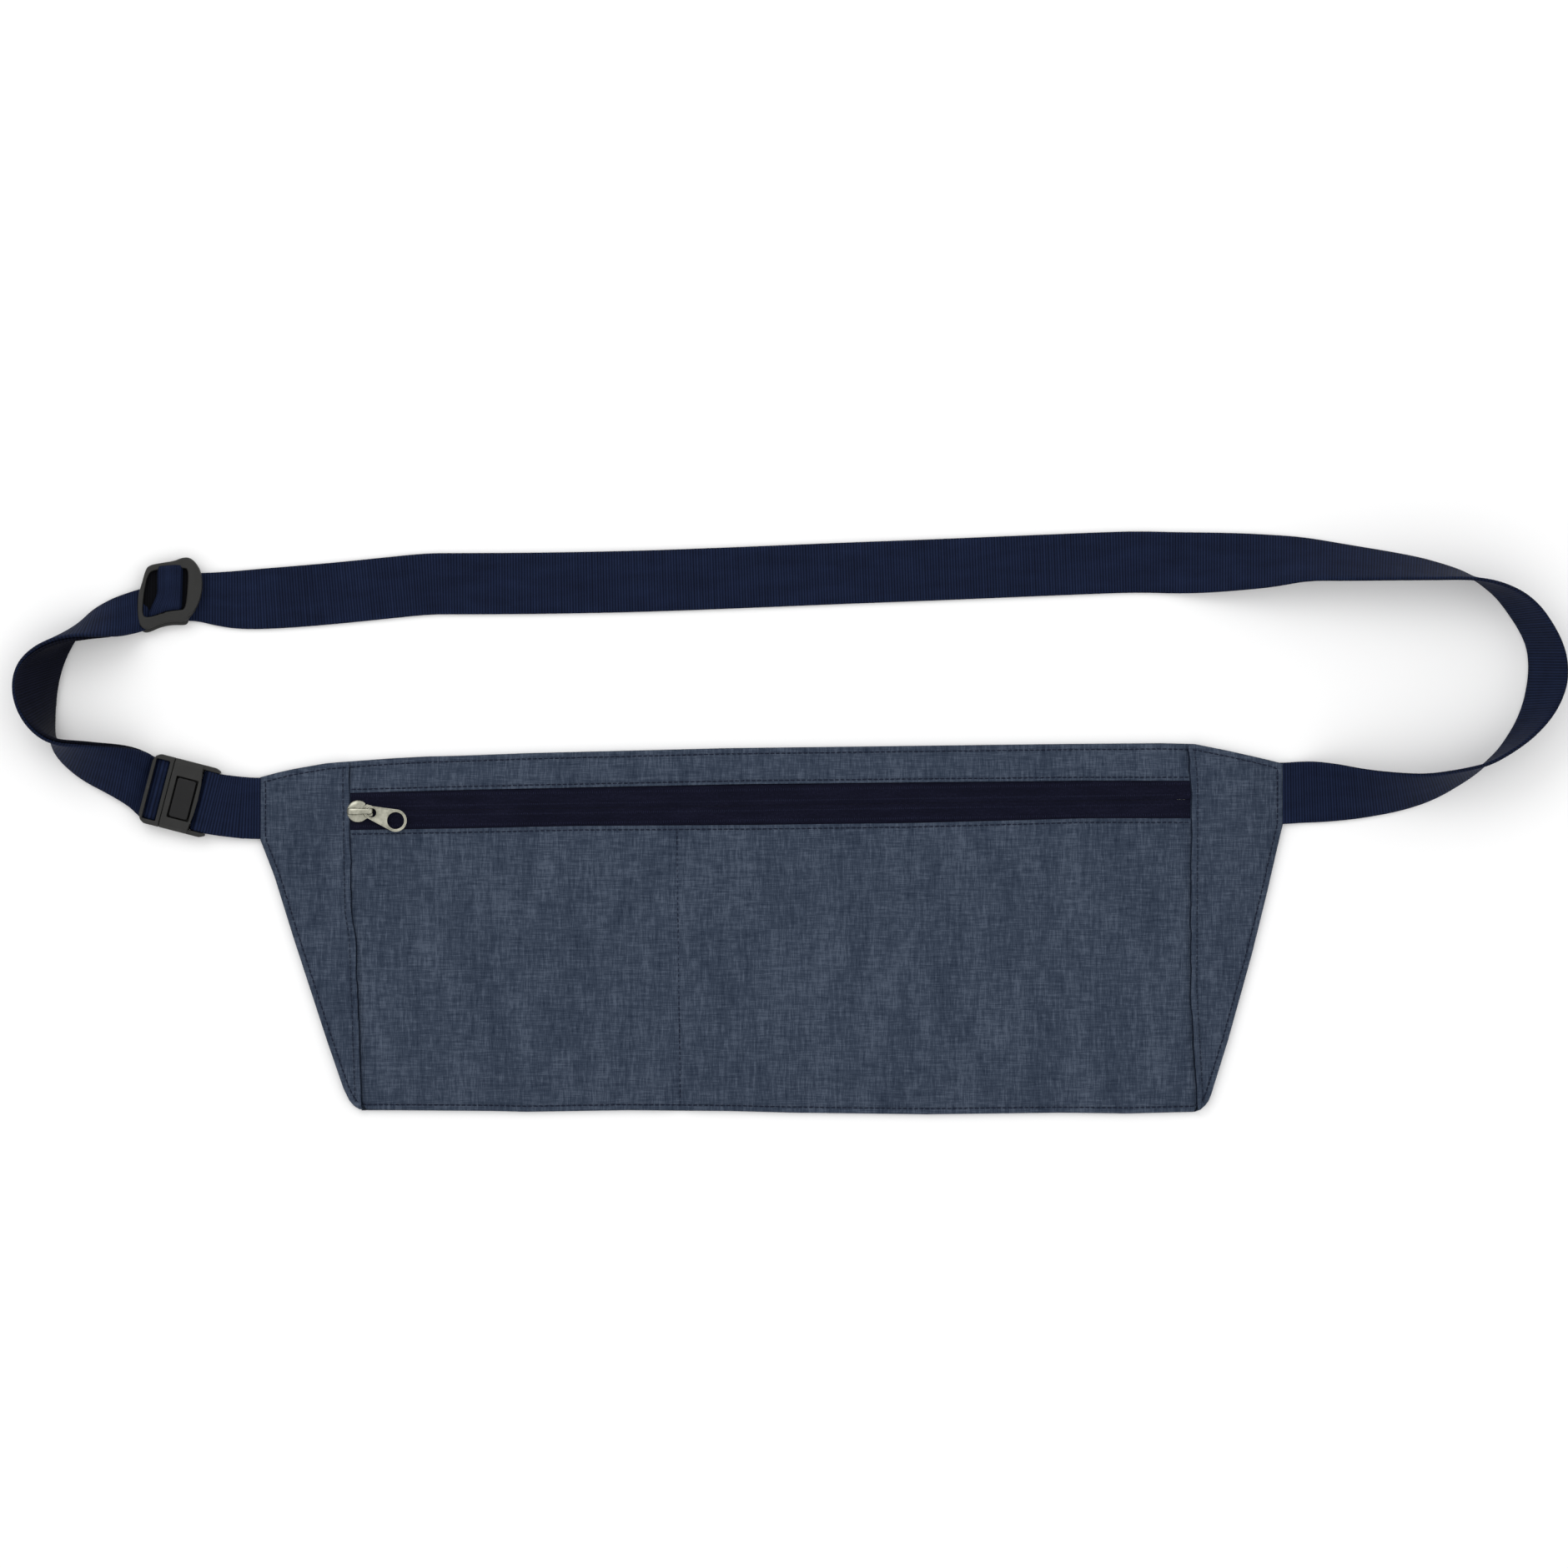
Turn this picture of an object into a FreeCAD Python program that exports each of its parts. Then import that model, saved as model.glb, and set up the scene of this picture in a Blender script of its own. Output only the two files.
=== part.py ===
import FreeCAD, Part
import os
import math

# ---------------------------------------------------------------------------
# Money belt: flat zipped fabric pouch on a 20 mm webbing waist strap.
# Units mm.  X runs along the pouch to its right-hand end, Y up across the
# waist loop, Z out of the front of the pouch.  The origin is the middle of the
# back face; the belt lies on its back on z = 0.
# ---------------------------------------------------------------------------

# -- driving dimensions ------------------------------------------------------
WEBBING_WIDTH = 20.0          # standard 20 mm polypropylene webbing
WEBBING_THICKNESS = 1.2
FABRIC = 0.4                  # face fabric
BACK_FABRIC = 0.5             # back panel with its backing
HEM_HEIGHT = 2.2              # folded and bound edge, four layers
POUCH_DEPTH = 5.6             # top of the front face above the table
HEM_INSET = 2.5               # stitched margin round the pocket
SIDE_SLOPE = 14.0             # how far in the front reaches full depth
TOP_SLOPE = 6.0
SEAM_GAP = 0.1                # between neighbouring front panels

TAPE_THICKNESS = 0.5
TAPE_BOTTOM = 4.6
TAPE_UPPER = 8.4             # upper tape, trimmed
TAPE_LOWER = 12.5             # lower tape
ZIP_OPENING = 12.5            # visible tape between the two panels
ZIP_LENGTH = 272.9            # between the two wing seams
COIL_PITCH = 1.2
COIL_TOOTH = 0.5
COIL_HALF = 1.6
COIL_BOTTOM = 3.4
SLIDER_LENGTH = 8.2
SLIDER_WIDTH = 7.4
SLIDER_TRAVEL = 260.0
PULL_THICKNESS = 0.9
PULL_YAW = -17.9              # degrees, how the tab lies on the slider
PULL_HOLE_R = 2.72
PULL_RING_R = 3.67
PULL_REACH = 9.9              # pivot to the middle of the hole

BUCKLE_HALF_WIDTH = 11.6
BUCKLE_HEIGHT = 5.8
BUCKLE_TILT = -14.5           # degrees, lie of the buckle on the table
BUCKLE_SPLIT = (-196.8, 44.5)  # middle of the line between plug and socket

THREAD_WIDTH = 0.5
THREAD_HEIGHT = 0.2
THREAD_CLEAR = 0.02

# pouch outline (front view), clockwise from the top left corner
OUTLINE = [
    (-166.7, 49.9), (-134.1, 54.8), (-101.5, 56.4),
    (-36.2, 58.3), (29.1, 59.4), (94.4, 60.25), (137.9, 60.4),
    (148.8, 58.1), (166.7, 53.9),
    (166.7, 34.1), (164.6, 24.9), (159.1, 1.8), (148.8, -36.6),
    (141.2, -60.0),
    (72.6, -60.25), (-88.4, -59.45), (-137.0, -59.2),
    (-166.7, 29.2),
]
TOP_EDGES = 8                 # the first eight edges are the top edge
LEFT_SEAM = [(-137.6, 70.0), (-136.8, 5.3), (-135.5, -3.1), (-133.3, -75.0)]
RIGHT_SEAM = [(135.6, 70.0), (136.6, 46.4), (136.5, -20.0), (139.2, -75.0)]
ZIP_START = (-136.0, 38.28)   # zip centre line at the left wing seam
ZIP_ANGLE = math.degrees(math.atan2(3.92, 272.8))

# waist strap, each station: resting edge x y, raised edge x y, raised height
STRAP_RIGHT = [
    (161.0, 34.2, 161.0, 54.2, 0.0), (167.4, 34.1, 167.4, 54.1, 0.0),
    (171.6, 34.5, 171.1, 54.4, 0.0),
    (177.0, 34.8, 176.4, 54.6, 1.8), (184.1, 35.4, 183.1, 54.1, 6.8),
    (195.0, 37.0, 193.4, 52.2, 12.9), (206.4, 39.4, 204.3, 51.1, 16.1),
    (216.2, 43.0, 213.5, 50.7, 18.2), (223.9, 47.6, 221.7, 51.7, 19.5),
    (229.3, 51.3, 228.4, 52.9, 19.9), (233.4, 55.1, 234.2, 54.3, 20.0),
    (236.6, 58.3, 241.3, 58.2, 19.5), (239.9, 63.1, 248.1, 63.0, 18.3),
    (242.9, 68.4, 254.0, 69.2, 16.6), (245.1, 74.4, 257.4, 75.2, 15.6),
    (246.4, 81.0, 259.1, 80.8, 15.2), (246.7, 86.8, 259.1, 86.6, 15.3),
    (245.9, 92.3, 257.8, 92.3, 15.8), (243.2, 97.8, 254.9, 98.3, 16.2),
    (239.6, 103.2, 250.5, 104.7, 16.7), (236.1, 107.8, 245.1, 109.2, 17.8),
    (232.3, 111.2, 237.7, 112.3, 19.2), (228.8, 113.8, 230.9, 113.5, 19.9),
    (224.4, 116.1, 224.0, 113.7, 19.8), (218.4, 118.2, 218.0, 113.5, 19.5),
    (210.8, 120.4, 210.4, 113.4, 18.8), (201.0, 122.3, 200.7, 113.3, 17.9),
    (192.3, 123.8, 192.0, 113.2, 17.0), (184.7, 125.1, 184.5, 113.2, 16.0),
    (177.1, 126.5, 177.0, 113.2, 15.0), (171.6, 127.3, 171.6, 112.6, 13.6),
    (164.0, 128.0, 164.0, 111.2, 11.0), (153.7, 128.7, 153.7, 110.2, 7.6),
    (141.5, 129.1, 141.5, 109.4, 3.6), (131.5, 129.3, 131.5, 109.3, 0.6),
    (122.0, 129.6, 122.0, 109.6, 0.0),
]
# strap running flat on the table under the adjuster: x, middle y
STRAP_FLAT = [
    (112.9, 119.5), (85.7, 118.4), (53.0, 117.0), (20.4, 115.8),
    (-12.2, 114.4), (-44.9, 113.2), (-77.5, 112.6), (-102.5, 112.5),
    (-112.0, 112.5), (-126.5, 111.0), (-140.1, 109.6), (-153.7, 108.3),
    (-170.0, 107.4), (-190.0, 106.4), (-207.2, 103.9),
]
# doubled webbing from the adjuster round the left end to the buckle
STRAP_LEFT = [
    (-207.9, 113.4, -207.9, 93.9, 0.6), (-212.5, 110.3, -212.5, 93.9, 9.0),
    (-216.4, 107.0, -217.6, 94.6, 15.0), (-219.5, 104.3, -222.2, 95.0, 17.3),
    (-222.2, 102.0, -226.9, 95.0, 18.0), (-224.4, 99.6, -232.0, 94.4, 17.8),
    (-226.4, 96.9, -237.5, 92.6, 16.0), (-228.1, 94.0, -242.4, 89.6, 13.2),
    (-229.7, 90.6, -245.6, 86.0, 11.0), (-231.2, 86.6, -247.2, 81.7, 10.9),
    (-232.6, 82.1, -247.2, 77.0, 12.6), (-233.6, 77.4, -245.8, 72.0, 14.8),
    (-234.2, 72.6, -243.0, 67.2, 17.1), (-234.6, 67.9, -239.5, 63.7, 18.9),
    (-234.7, 63.5, -235.6, 61.5, 19.8), (-233.9, 59.2, -231.8, 60.6, 19.8),
    (-231.5, 55.3, -228.0, 60.4, 19.0), (-227.7, 51.6, -224.0, 60.2, 17.6),
    (-223.3, 48.4, -219.5, 59.8, 15.8), (-218.4, 45.7, -214.8, 59.6, 13.8),
    (-213.8, 43.0, -210.5, 59.2, 11.0), (-210.1, 40.6, -206.9, 58.4, 7.0),
    (-207.6, 38.6, -204.0, 57.3, 2.6),
]


# -- helpers -----------------------------------------------------------------
def vec(x, y, z=0.0):
    return FreeCAD.Vector(x, y, z)


def prism(points, z0, z1):
    ring = [vec(x, y, z0) for x, y in points]
    face = Part.Face(Part.makePolygon(ring + [ring[0]]))
    return face.extrude(vec(0, 0, z1 - z0))


def solid_of(faces):
    """Closed solid from flat faces given as corner lists."""
    edges = {}

    def edge(p, q):
        kp, kq = (p.x, p.y, p.z), (q.x, q.y, q.z)
        key = (kp, kq) if kp < kq else (kq, kp)
        if key not in edges:
            edges[key] = Part.LineSegment(vec(*key[0]), vec(*key[1])).toShape()
        return edges[key]

    sides = []
    for f in faces:
        ring = [edge(f[i], f[(i + 1) % len(f)]) for i in range(len(f))]
        sides.append(Part.Face(Part.Wire(ring)))
    shell = Part.makeShell(sides)
    shell.sewShape()
    shell = shell.Shells[0] if shell.ShapeType != "Shell" else shell
    solid = Part.makeSolid(shell)
    if not solid.isValid():
        solid.fix(1e-6, 1e-6, 1e-6)
    if solid.Volume < 0:
        solid.reverse()
    return solid


def inset(points, distances):
    """Move every edge of a convex ring inwards by its own distance."""
    n = len(points)
    area = sum(points[i][0] * points[(i + 1) % n][1]
               - points[(i + 1) % n][0] * points[i][1] for i in range(n))
    side = 1.0 if area > 0 else -1.0
    lines = []
    for i in range(n):
        (x0, y0), (x1, y1) = points[i], points[(i + 1) % n]
        length = math.hypot(x1 - x0, y1 - y0)
        nx, ny = -side * (y1 - y0) / length, side * (x1 - x0) / length
        lines.append((nx, ny, nx * x0 + ny * y0 + distances[i]))
    out = []
    for i in range(n):
        a, b, c = lines[i - 1]
        d, e, f = lines[i]
        det = a * e - b * d
        out.append(((c * e - b * f) / det, (a * f - c * d) / det))
    return out


def raised_block(ring, top_ring, z0, z1, z2):
    """Upright wall from z0 to z1, then sloping in to the flat top at z2."""
    n = len(ring)
    low = [vec(x, y, z0) for x, y in ring]
    mid = [vec(x, y, z1) for x, y in ring]
    top = [vec(x, y, z2) for x, y in top_ring]
    faces = [list(reversed(low)), top]
    for i in range(n):
        j = (i + 1) % n
        faces.append([low[i], low[j], mid[j], mid[i]])
        faces.append([mid[i], mid[j], top[j], top[i]])
    return solid_of(faces)


def ribbon(stations, thickness, flipped=()):
    """Webbing: each station is its inner face from edge to edge."""
    n = len(stations)
    mids = [(a + b) * 0.5 for a, b in stations]
    rings = []
    for i in range(n):
        along = mids[min(i + 1, n - 1)] - mids[max(i - 1, 0)]
        a, b = stations[i]
        out = along.cross(b - a)
        out.normalize()
        rings.append([a, b, b + out * thickness, a + out * thickness])
    faces = [[rings[0][3], rings[0][2], rings[0][1]],
             [rings[0][3], rings[0][1], rings[0][0]],
             [rings[-1][0], rings[-1][1], rings[-1][2]],
             [rings[-1][0], rings[-1][2], rings[-1][3]]]
    for i in range(n - 1):
        for k in range(4):
            m = (k + 1) % 4
            p, q = rings[i][k], rings[i][m]
            r, s = rings[i + 1][m], rings[i + 1][k]
            if i in flipped:
                faces.append([p, q, s])
                faces.append([q, r, s])
            else:
                faces.append([p, q, r])
                faces.append([p, r, s])
    return solid_of(faces)


def lifted(rows, layers_out, layers_in):
    """Stations with the whole stack of webbing resting on the table."""
    pts = [(vec(r[0], r[1], 0), vec(r[2], r[3], r[4])) for r in rows]
    out = []
    n = len(pts)
    for i in range(n):
        m0 = (pts[max(i - 1, 0)][0] + pts[max(i - 1, 0)][1]) * 0.5
        m1 = (pts[min(i + 1, n - 1)][0] + pts[min(i + 1, n - 1)][1]) * 0.5
        a, b = pts[i]
        nrm = (m1 - m0).cross(b - a)
        nrm.normalize()
        drop = min(0.0, nrm.z * layers_out, -nrm.z * layers_in)
        rise = vec(0, 0, -drop)
        out.append((a + rise, b + rise, nrm))
    return out


def zip_point(u, v):
    c, s = math.cos(math.radians(ZIP_ANGLE)), math.sin(math.radians(ZIP_ANGLE))
    return (ZIP_START[0] + u * c - v * s, ZIP_START[1] + u * s + v * c)


def zip_box(u0, u1, v0, v1, z0, z1):
    return prism([zip_point(u0, v0), zip_point(u1, v0),
                  zip_point(u1, v1), zip_point(u0, v1)], z0, z1)


def buckle_point(u, v, z=None):
    c = math.cos(math.radians(BUCKLE_TILT))
    s = math.sin(math.radians(BUCKLE_TILT))
    x = BUCKLE_SPLIT[0] + u * c - v * s
    y = BUCKLE_SPLIT[1] + u * s + v * c
    return (x, y) if z is None else vec(x, y, z)


def buckle_prism(points, z0, z1):
    return prism([buckle_point(u, v) for u, v in points], z0, z1)


def buckle_box(u0, u1, v0, v1, z0, z1):
    return buckle_prism([(u0, v0), (u1, v0), (u1, v1), (u0, v1)], z0, z1)


def thread_line(p, q, z0, width=THREAD_WIDTH, height=THREAD_HEIGHT):
    dx, dy = q[0] - p[0], q[1] - p[1]
    length = math.hypot(dx, dy)
    nx, ny = -dy / length * width / 2, dx / length * width / 2
    return prism([(p[0] + nx, p[1] + ny), (q[0] + nx, q[1] + ny),
                  (q[0] - nx, q[1] - ny), (p[0] - nx, p[1] - ny)],
                 z0, z0 + height)


PARTS = {}

# -- pouch -------------------------------------------------------------------
slopes = [TOP_SLOPE if i < TOP_EDGES else SIDE_SLOPE
          for i in range(len(OUTLINE))]
plateau = inset(OUTLINE, slopes)
hem = inset(OUTLINE, [HEM_INSET] * len(OUTLINE))
inner_plateau = inset(OUTLINE, [d + 0.3 for d in slopes])

# the two bottom corners are turned round a small radius
corner_right = prism([(142.4, -56.2), (160.0, -56.2), (160.0, -70.0),
                      (137.2, -70.0), (137.2, -60.05)], -1, 10)
corner_left = prism([(-138.7, -54.0), (-131.9, -59.25), (-131.9, -70.0),
                     (-150.0, -70.0), (-150.0, -54.0)], -1, 10)

back_panel = prism(OUTLINE, 0, BACK_FABRIC).cut(corner_left).cut(corner_right)
PARTS["back_panel"] = back_panel

outer = raised_block(OUTLINE, plateau, BACK_FABRIC, HEM_HEIGHT, POUCH_DEPTH)
inner = raised_block(hem, inner_plateau, BACK_FABRIC - 0.3, HEM_HEIGHT,
                     POUCH_DEPTH - FABRIC)

shell = outer.cut(inner).cut(corner_left).cut(corner_right)

# slots in the hem where the two webbing ends are sewn in
slot_right = prism([(155, 33.8), (170, 33.8), (170, 54.5), (155, 54.5)],
                   BACK_FABRIC - 0.3, 2.0)
slot_left = prism([(-170, 28.8), (-155, 28.8), (-155, 49.3), (-170, 49.3)],
                  BACK_FABRIC - 0.3, 2.0)
shell = shell.cut(slot_right).cut(slot_left)

g = SEAM_GAP / 2
half = ZIP_OPENING / 2
left_of = prism([(x - g, y) for x, y in LEFT_SEAM] + [(-200, -75), (-200, 70)],
                -1, 10)
right_of = prism([(x + g, y) for x, y in RIGHT_SEAM] + [(200, -75), (200, 70)],
                 -1, 10)
between = prism([(x + g, y) for x, y in LEFT_SEAM]
                + [(x - g, y) for x, y in reversed(RIGHT_SEAM)], -1, 10)
above = prism([zip_point(-20, half), zip_point(300, half),
               zip_point(300, 60), zip_point(-20, 60)], -1, 10)
below = prism([zip_point(-20, -half), zip_point(300, -half),
               zip_point(300, -130), zip_point(-20, -130)], -1, 10)
middle = shell.common(between)
PARTS["front_top_strip"] = middle.common(above)
PARTS["front_lower_panel"] = middle.common(below)
# the left wing is notched where the slider parks
PARTS["left_wing_panel"] = shell.common(left_of).cut(
    zip_box(-2.6, 2.0, -4.2, 4.2, 4.9, 7.0))
PARTS["right_wing_panel"] = shell.common(right_of)

# inner organiser sheet hanging behind the front panel
PARTS["organizer_panel"] = prism(
    [(-126, 24.0), (126, 24.0), (122, -43.0), (-122, -43.0)], 4.85, 5.1)

# -- zip ---------------------------------------------------------------------
neck_room = zip_box(-2.3, 0.5, -1.1, 1.1, 3.0, 5.6)
tape_z = (TAPE_BOTTOM, TAPE_BOTTOM + TAPE_THICKNESS)
PARTS["zip_tape_upper"] = zip_box(-8, 281, 0.1, TAPE_UPPER, *tape_z).cut(
    neck_room)
PARTS["zip_tape_lower"] = zip_box(-8, 281, -TAPE_LOWER, -0.1, *tape_z).cut(
    neck_room)


def comb(side, phase):
    """Half of the coil seen from above: a spine with hooked loops."""
    pts = [zip_point(0.6, side * COIL_HALF)]
    u = 0.6
    pts.append(zip_point(u, side * 0.75))
    count = int((267.6 - 0.6) / COIL_PITCH)
    for i in range(count):
        c = 0.6 + phase + COIL_PITCH * i + COIL_TOOTH / 2 + 0.05
        pts.append(zip_point(c - COIL_TOOTH / 2, side * 0.75))
        pts.append(zip_point(c - COIL_TOOTH / 2, -side * 0.6))
        pts.append(zip_point(c + COIL_TOOTH / 2, -side * 0.6))
        pts.append(zip_point(c + COIL_TOOTH / 2, side * 0.75))
    pts.append(zip_point(267.8, side * 0.75))
    pts.append(zip_point(267.8, side * COIL_HALF))
    return prism(pts, COIL_BOTTOM, TAPE_BOTTOM)


PARTS["zip_coil_upper"] = comb(1, 0.0)
PARTS["zip_coil_lower"] = comb(-1, COIL_PITCH / 2)
PARTS["zip_top_stop"] = Part.makeCompound([
    zip_box(-4.2, -2.7, 1.1, 2.4, 3.5, TAPE_BOTTOM),
    zip_box(-4.2, -2.7, -2.4, -1.1, 3.5, TAPE_BOTTOM)])
PARTS["zip_bottom_stop"] = zip_box(268.0, 270.6, -1.9, 1.9, 3.3, TAPE_BOTTOM)

SLIDER_TOP = 5.8
body_top = prism([zip_point(u, v) for u, v in [
    (-2.0, 1.2), (-1.0, 3.0), (1.0, 3.7), (4.6, 3.4), (6.2, 2.4),
    (6.2, -2.4), (4.6, -3.4), (1.0, -3.7), (-1.0, -3.0), (-2.0, -1.2)]],
    5.2, SLIDER_TOP)
body_low = prism([zip_point(u, v) for u, v in [
    (-2.0, 1.2), (-1.0, 3.0), (1.0, 3.5), (4.6, 3.2), (6.2, 2.6),
    (6.2, -2.6), (4.6, -3.2), (1.0, -3.5), (-1.0, -3.0), (-2.0, -1.2)]],
    2.5, 3.25)
neck = prism([zip_point(u, v) for u, v in [
    (-2.0, 0.6), (-1.2, 0.95), (0.3, 0.2), (0.3, -0.2), (-1.2, -0.95),
    (-2.0, -0.6)]], 3.25, 5.2)
flange_a = zip_box(0.9, 6.2, 2.0, 2.6, 3.25, 4.5)
flange_b = zip_box(0.9, 6.2, -2.6, -2.0, 3.25, 4.5)
PARTS["zip_slider_body"] = body_top.fuse(
    [body_low, neck, flange_a, flange_b]).removeSplitter()

# crown: the bridge the tab hangs from
PIVOT_U = 4.35
PIVOT_Z = 6.6
crown_profile = [(-1.4, SLIDER_TOP), (-1.4, 7.4), (-0.6, 8.2), (0.3, 8.4),
                 (5.4, 8.4), (6.3, 7.9), (6.3, SLIDER_TOP), (5.4, SLIDER_TOP),
                 (5.4, 7.6), (-0.2, 7.6), (-0.4, 7.3), (-0.4, SLIDER_TOP)]
crown_side = [vec(*zip_point(u, -0.8), z) for u, z in crown_profile]
crown_dir = vec(*zip_point(0, 1.6)) - vec(*zip_point(0, 0))
PARTS["zip_slider_crown"] = Part.Face(
    Part.makePolygon(crown_side + [crown_side[0]])).extrude(crown_dir)

# pull tab: eye, waist and a ring
pivot = zip_point(PIVOT_U, 0)
yaw = math.radians(PULL_YAW)


def tab_point(s, w):
    return (pivot[0] + s * math.cos(yaw) - w * math.sin(yaw),
            pivot[1] + s * math.sin(yaw) + w * math.cos(yaw))


pull_z0 = PIVOT_Z - PULL_THICKNESS / 2
pull_z1 = PIVOT_Z + PULL_THICKNESS / 2
eye = prism([tab_point(s, w) for s, w in [
    (-0.55, 1.3), (-0.2, 2.0), (0.4, 2.3), (3.2, 2.3), (4.1, 1.7), (6.8, 1.4),
    (6.8, -1.4), (4.1, -1.7), (3.2, -2.3), (0.4, -2.3), (-0.2, -2.0),
    (-0.55, -1.3)]], pull_z0, pull_z1)
eye_hole = prism([tab_point(s, w) for s, w in [
    (0.55, 1.4), (0.75, 1.6), (3.1, 1.6), (3.35, 1.35), (3.35, -1.35),
    (3.1, -1.6), (0.75, -1.6), (0.55, -1.4)]], 0, 12)
ring_c = tab_point(PULL_REACH, 0)
ring = Part.makeCylinder(PULL_RING_R, PULL_THICKNESS,
                         vec(ring_c[0], ring_c[1], pull_z0))
ring_hole = Part.makeCylinder(PULL_HOLE_R, 12, vec(ring_c[0], ring_c[1], 0))
PARTS["zip_pull_tab"] = eye.fuse(ring).removeSplitter().cut(
    eye_hole).cut(ring_hole)

# -- stitching ---------------------------------------------------------------
THREAD_INSET = 1.9
lines = []
for i in range(len(OUTLINE)):
    ring_in = inset(OUTLINE, [THREAD_INSET] * len(OUTLINE))
    p, q = ring_in[i], ring_in[(i + 1) % len(OUTLINE)]
    length = math.hypot(q[0] - p[0], q[1] - p[1])
    d = slopes[i]
    z = HEM_HEIGHT + (POUCH_DEPTH - HEM_HEIGHT) * (
        THREAD_INSET + THREAD_WIDTH / 2) / d + THREAD_CLEAR
    trim = {12: 5.5, 13: 5.5, 15: 7.0, 16: 7.0}.get(i, 1.2) / length
    a = (p[0] + (q[0] - p[0]) * trim, p[1] + (q[1] - p[1]) * trim)
    b = (q[0] + (p[0] - q[0]) * trim, q[1] + (p[1] - q[1]) * trim)
    lines.append(thread_line(a, b, z))
PARTS["thread_outline"] = Part.makeCompound(lines)

zt = POUCH_DEPTH + THREAD_CLEAR
PARTS["thread_zip"] = Part.makeCompound([
    thread_line(zip_point(0.8, half + 1.1), zip_point(271.5, half + 1.1), zt),
    thread_line(zip_point(0.8, -half - 1.35), zip_point(271.5, -half - 1.35),
                zt)])
PARTS["thread_wings"] = Part.makeCompound([
    thread_line((-138.9, 46.5), (-138.7, 6.0), zt),
    thread_line((-138.7, 5.2), (-136.7, -40.0), zt),
    thread_line((138.5, 52.5), (138.4, -18.0), zt),
    thread_line((138.4, -19.0), (139.0, -42.0), zt)])
PARTS["thread_divider"] = thread_line((-30.7, 29.0), (-29.7, -43.5), zt)

# -- waist strap -------------------------------------------------------------
T = WEBBING_THICKNESS
rows = lifted(STRAP_RIGHT, T, 0.0)
main = []
for k, (a, b, nrm) in enumerate(rows):
    # the sewn-in end rides up over the back panel
    lift = (0.65, 0.55, 0.2)[k] if k < 3 else 0.0
    main.append((a + vec(0, 0, lift), b + vec(0, 0, lift)))
for i, (x, y) in enumerate(STRAP_FLAT):
    j0, j1 = max(i - 1, 0), min(i + 1, len(STRAP_FLAT) - 1)
    dx = STRAP_FLAT[j1][0] - STRAP_FLAT[j0][0]
    dy = STRAP_FLAT[j1][1] - STRAP_FLAT[j0][1]
    length = math.hypot(dx, dy)
    nx, ny = dy / length * 10.0, -dx / length * 10.0
    main.append((vec(x + nx, y + ny, 0), vec(x - nx, y - ny, 0)))
PARTS["strap_main"] = ribbon(main, T)

# left loop: outer layer, turn round the plug bar, return layer underneath
GAP = 0.3
rows = lifted(STRAP_LEFT, T, T + GAP)
outer_layer = [(a, b) for a, b, nrm in rows]
return_layer = [(a - nrm * GAP, b - nrm * GAP) for a, b, nrm in rows]
W2 = 9.75
BASE = T + GAP + 0.05


def across(u, z):
    return (buckle_point(u, -W2, z), buckle_point(u, W2, z))


BAR = (-4.1, -2.9, 1.75, 2.95)        # plug bar: u0 u1 z0 z1
turn = [across(-7.2, BASE), across(-5.7, BASE + 0.05),
        across(-4.4, BAR[3] + 0.02), across(-4.0, BAR[3] + 0.1),
        across(-3.0, BAR[3] + 0.1), across(-2.84, BAR[3] + 0.0),
        across(-2.82, 1.75), across(-3.0, 1.42), across(-3.5, 1.32),
        across(-5.5, 1.30), across(-7.2, 1.28)]
left = outer_layer + turn + list(reversed(return_layer[4:]))
back_from = len(outer_layer) + len(turn) - 1
PARTS["strap_left_loop"] = ribbon(left, T, flipped=range(back_from, 10 ** 4))

# short strap: doubled round the socket bar, sewn into the left end
SBAR = (11.6, 13.0, 1.75, 2.95)
n_edge, s_edge = 49.2, 29.2
short = [
    (vec(-160.5, 49.15, 0.65), vec(-160.5, 29.3, 0.65)),
    (vec(-167.2, 49.15, 0.68), vec(-167.2, 29.3, 0.68)),
    (vec(-171.5, 49.3, 1.55), vec(-172.3, 29.5, 1.55)),
    (buckle_point(16.5, W2, 2.0), buckle_point(16.5, -W2, 2.0)),
    (buckle_point(13.2, W2, SBAR[3] + 0.05),
     buckle_point(13.2, -W2, SBAR[3] + 0.05)),
    (buckle_point(11.7, W2, SBAR[3] + 0.1),
     buckle_point(11.7, -W2, SBAR[3] + 0.1)),
    (buckle_point(11.52, W2, SBAR[3]), buckle_point(11.52, -W2, SBAR[3])),
    (buckle_point(11.5, W2, 1.75), buckle_point(11.5, -W2, 1.75)),
    (buckle_point(11.7, W2, 1.42), buckle_point(11.7, -W2, 1.42)),
    (buckle_point(12.3, W2, 1.3), buckle_point(12.3, -W2, 1.3)),
    (buckle_point(16.5, W2, 1.28), buckle_point(16.5, -W2, 1.28)),
    (vec(-171.5, 49.3, 1.27), vec(-172.3, 29.5, 1.27)),
    (vec(-167.3, 49.15, 0.6 + 0.62), vec(-167.3, 29.3, 0.6 + 0.62)),
]
short[-1] = (vec(-168.6, 49.2, 1.27), vec(-168.6, 29.35, 1.27))
PARTS["strap_short_loop"] = ribbon(short, T, flipped=range(9, 99))

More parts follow.
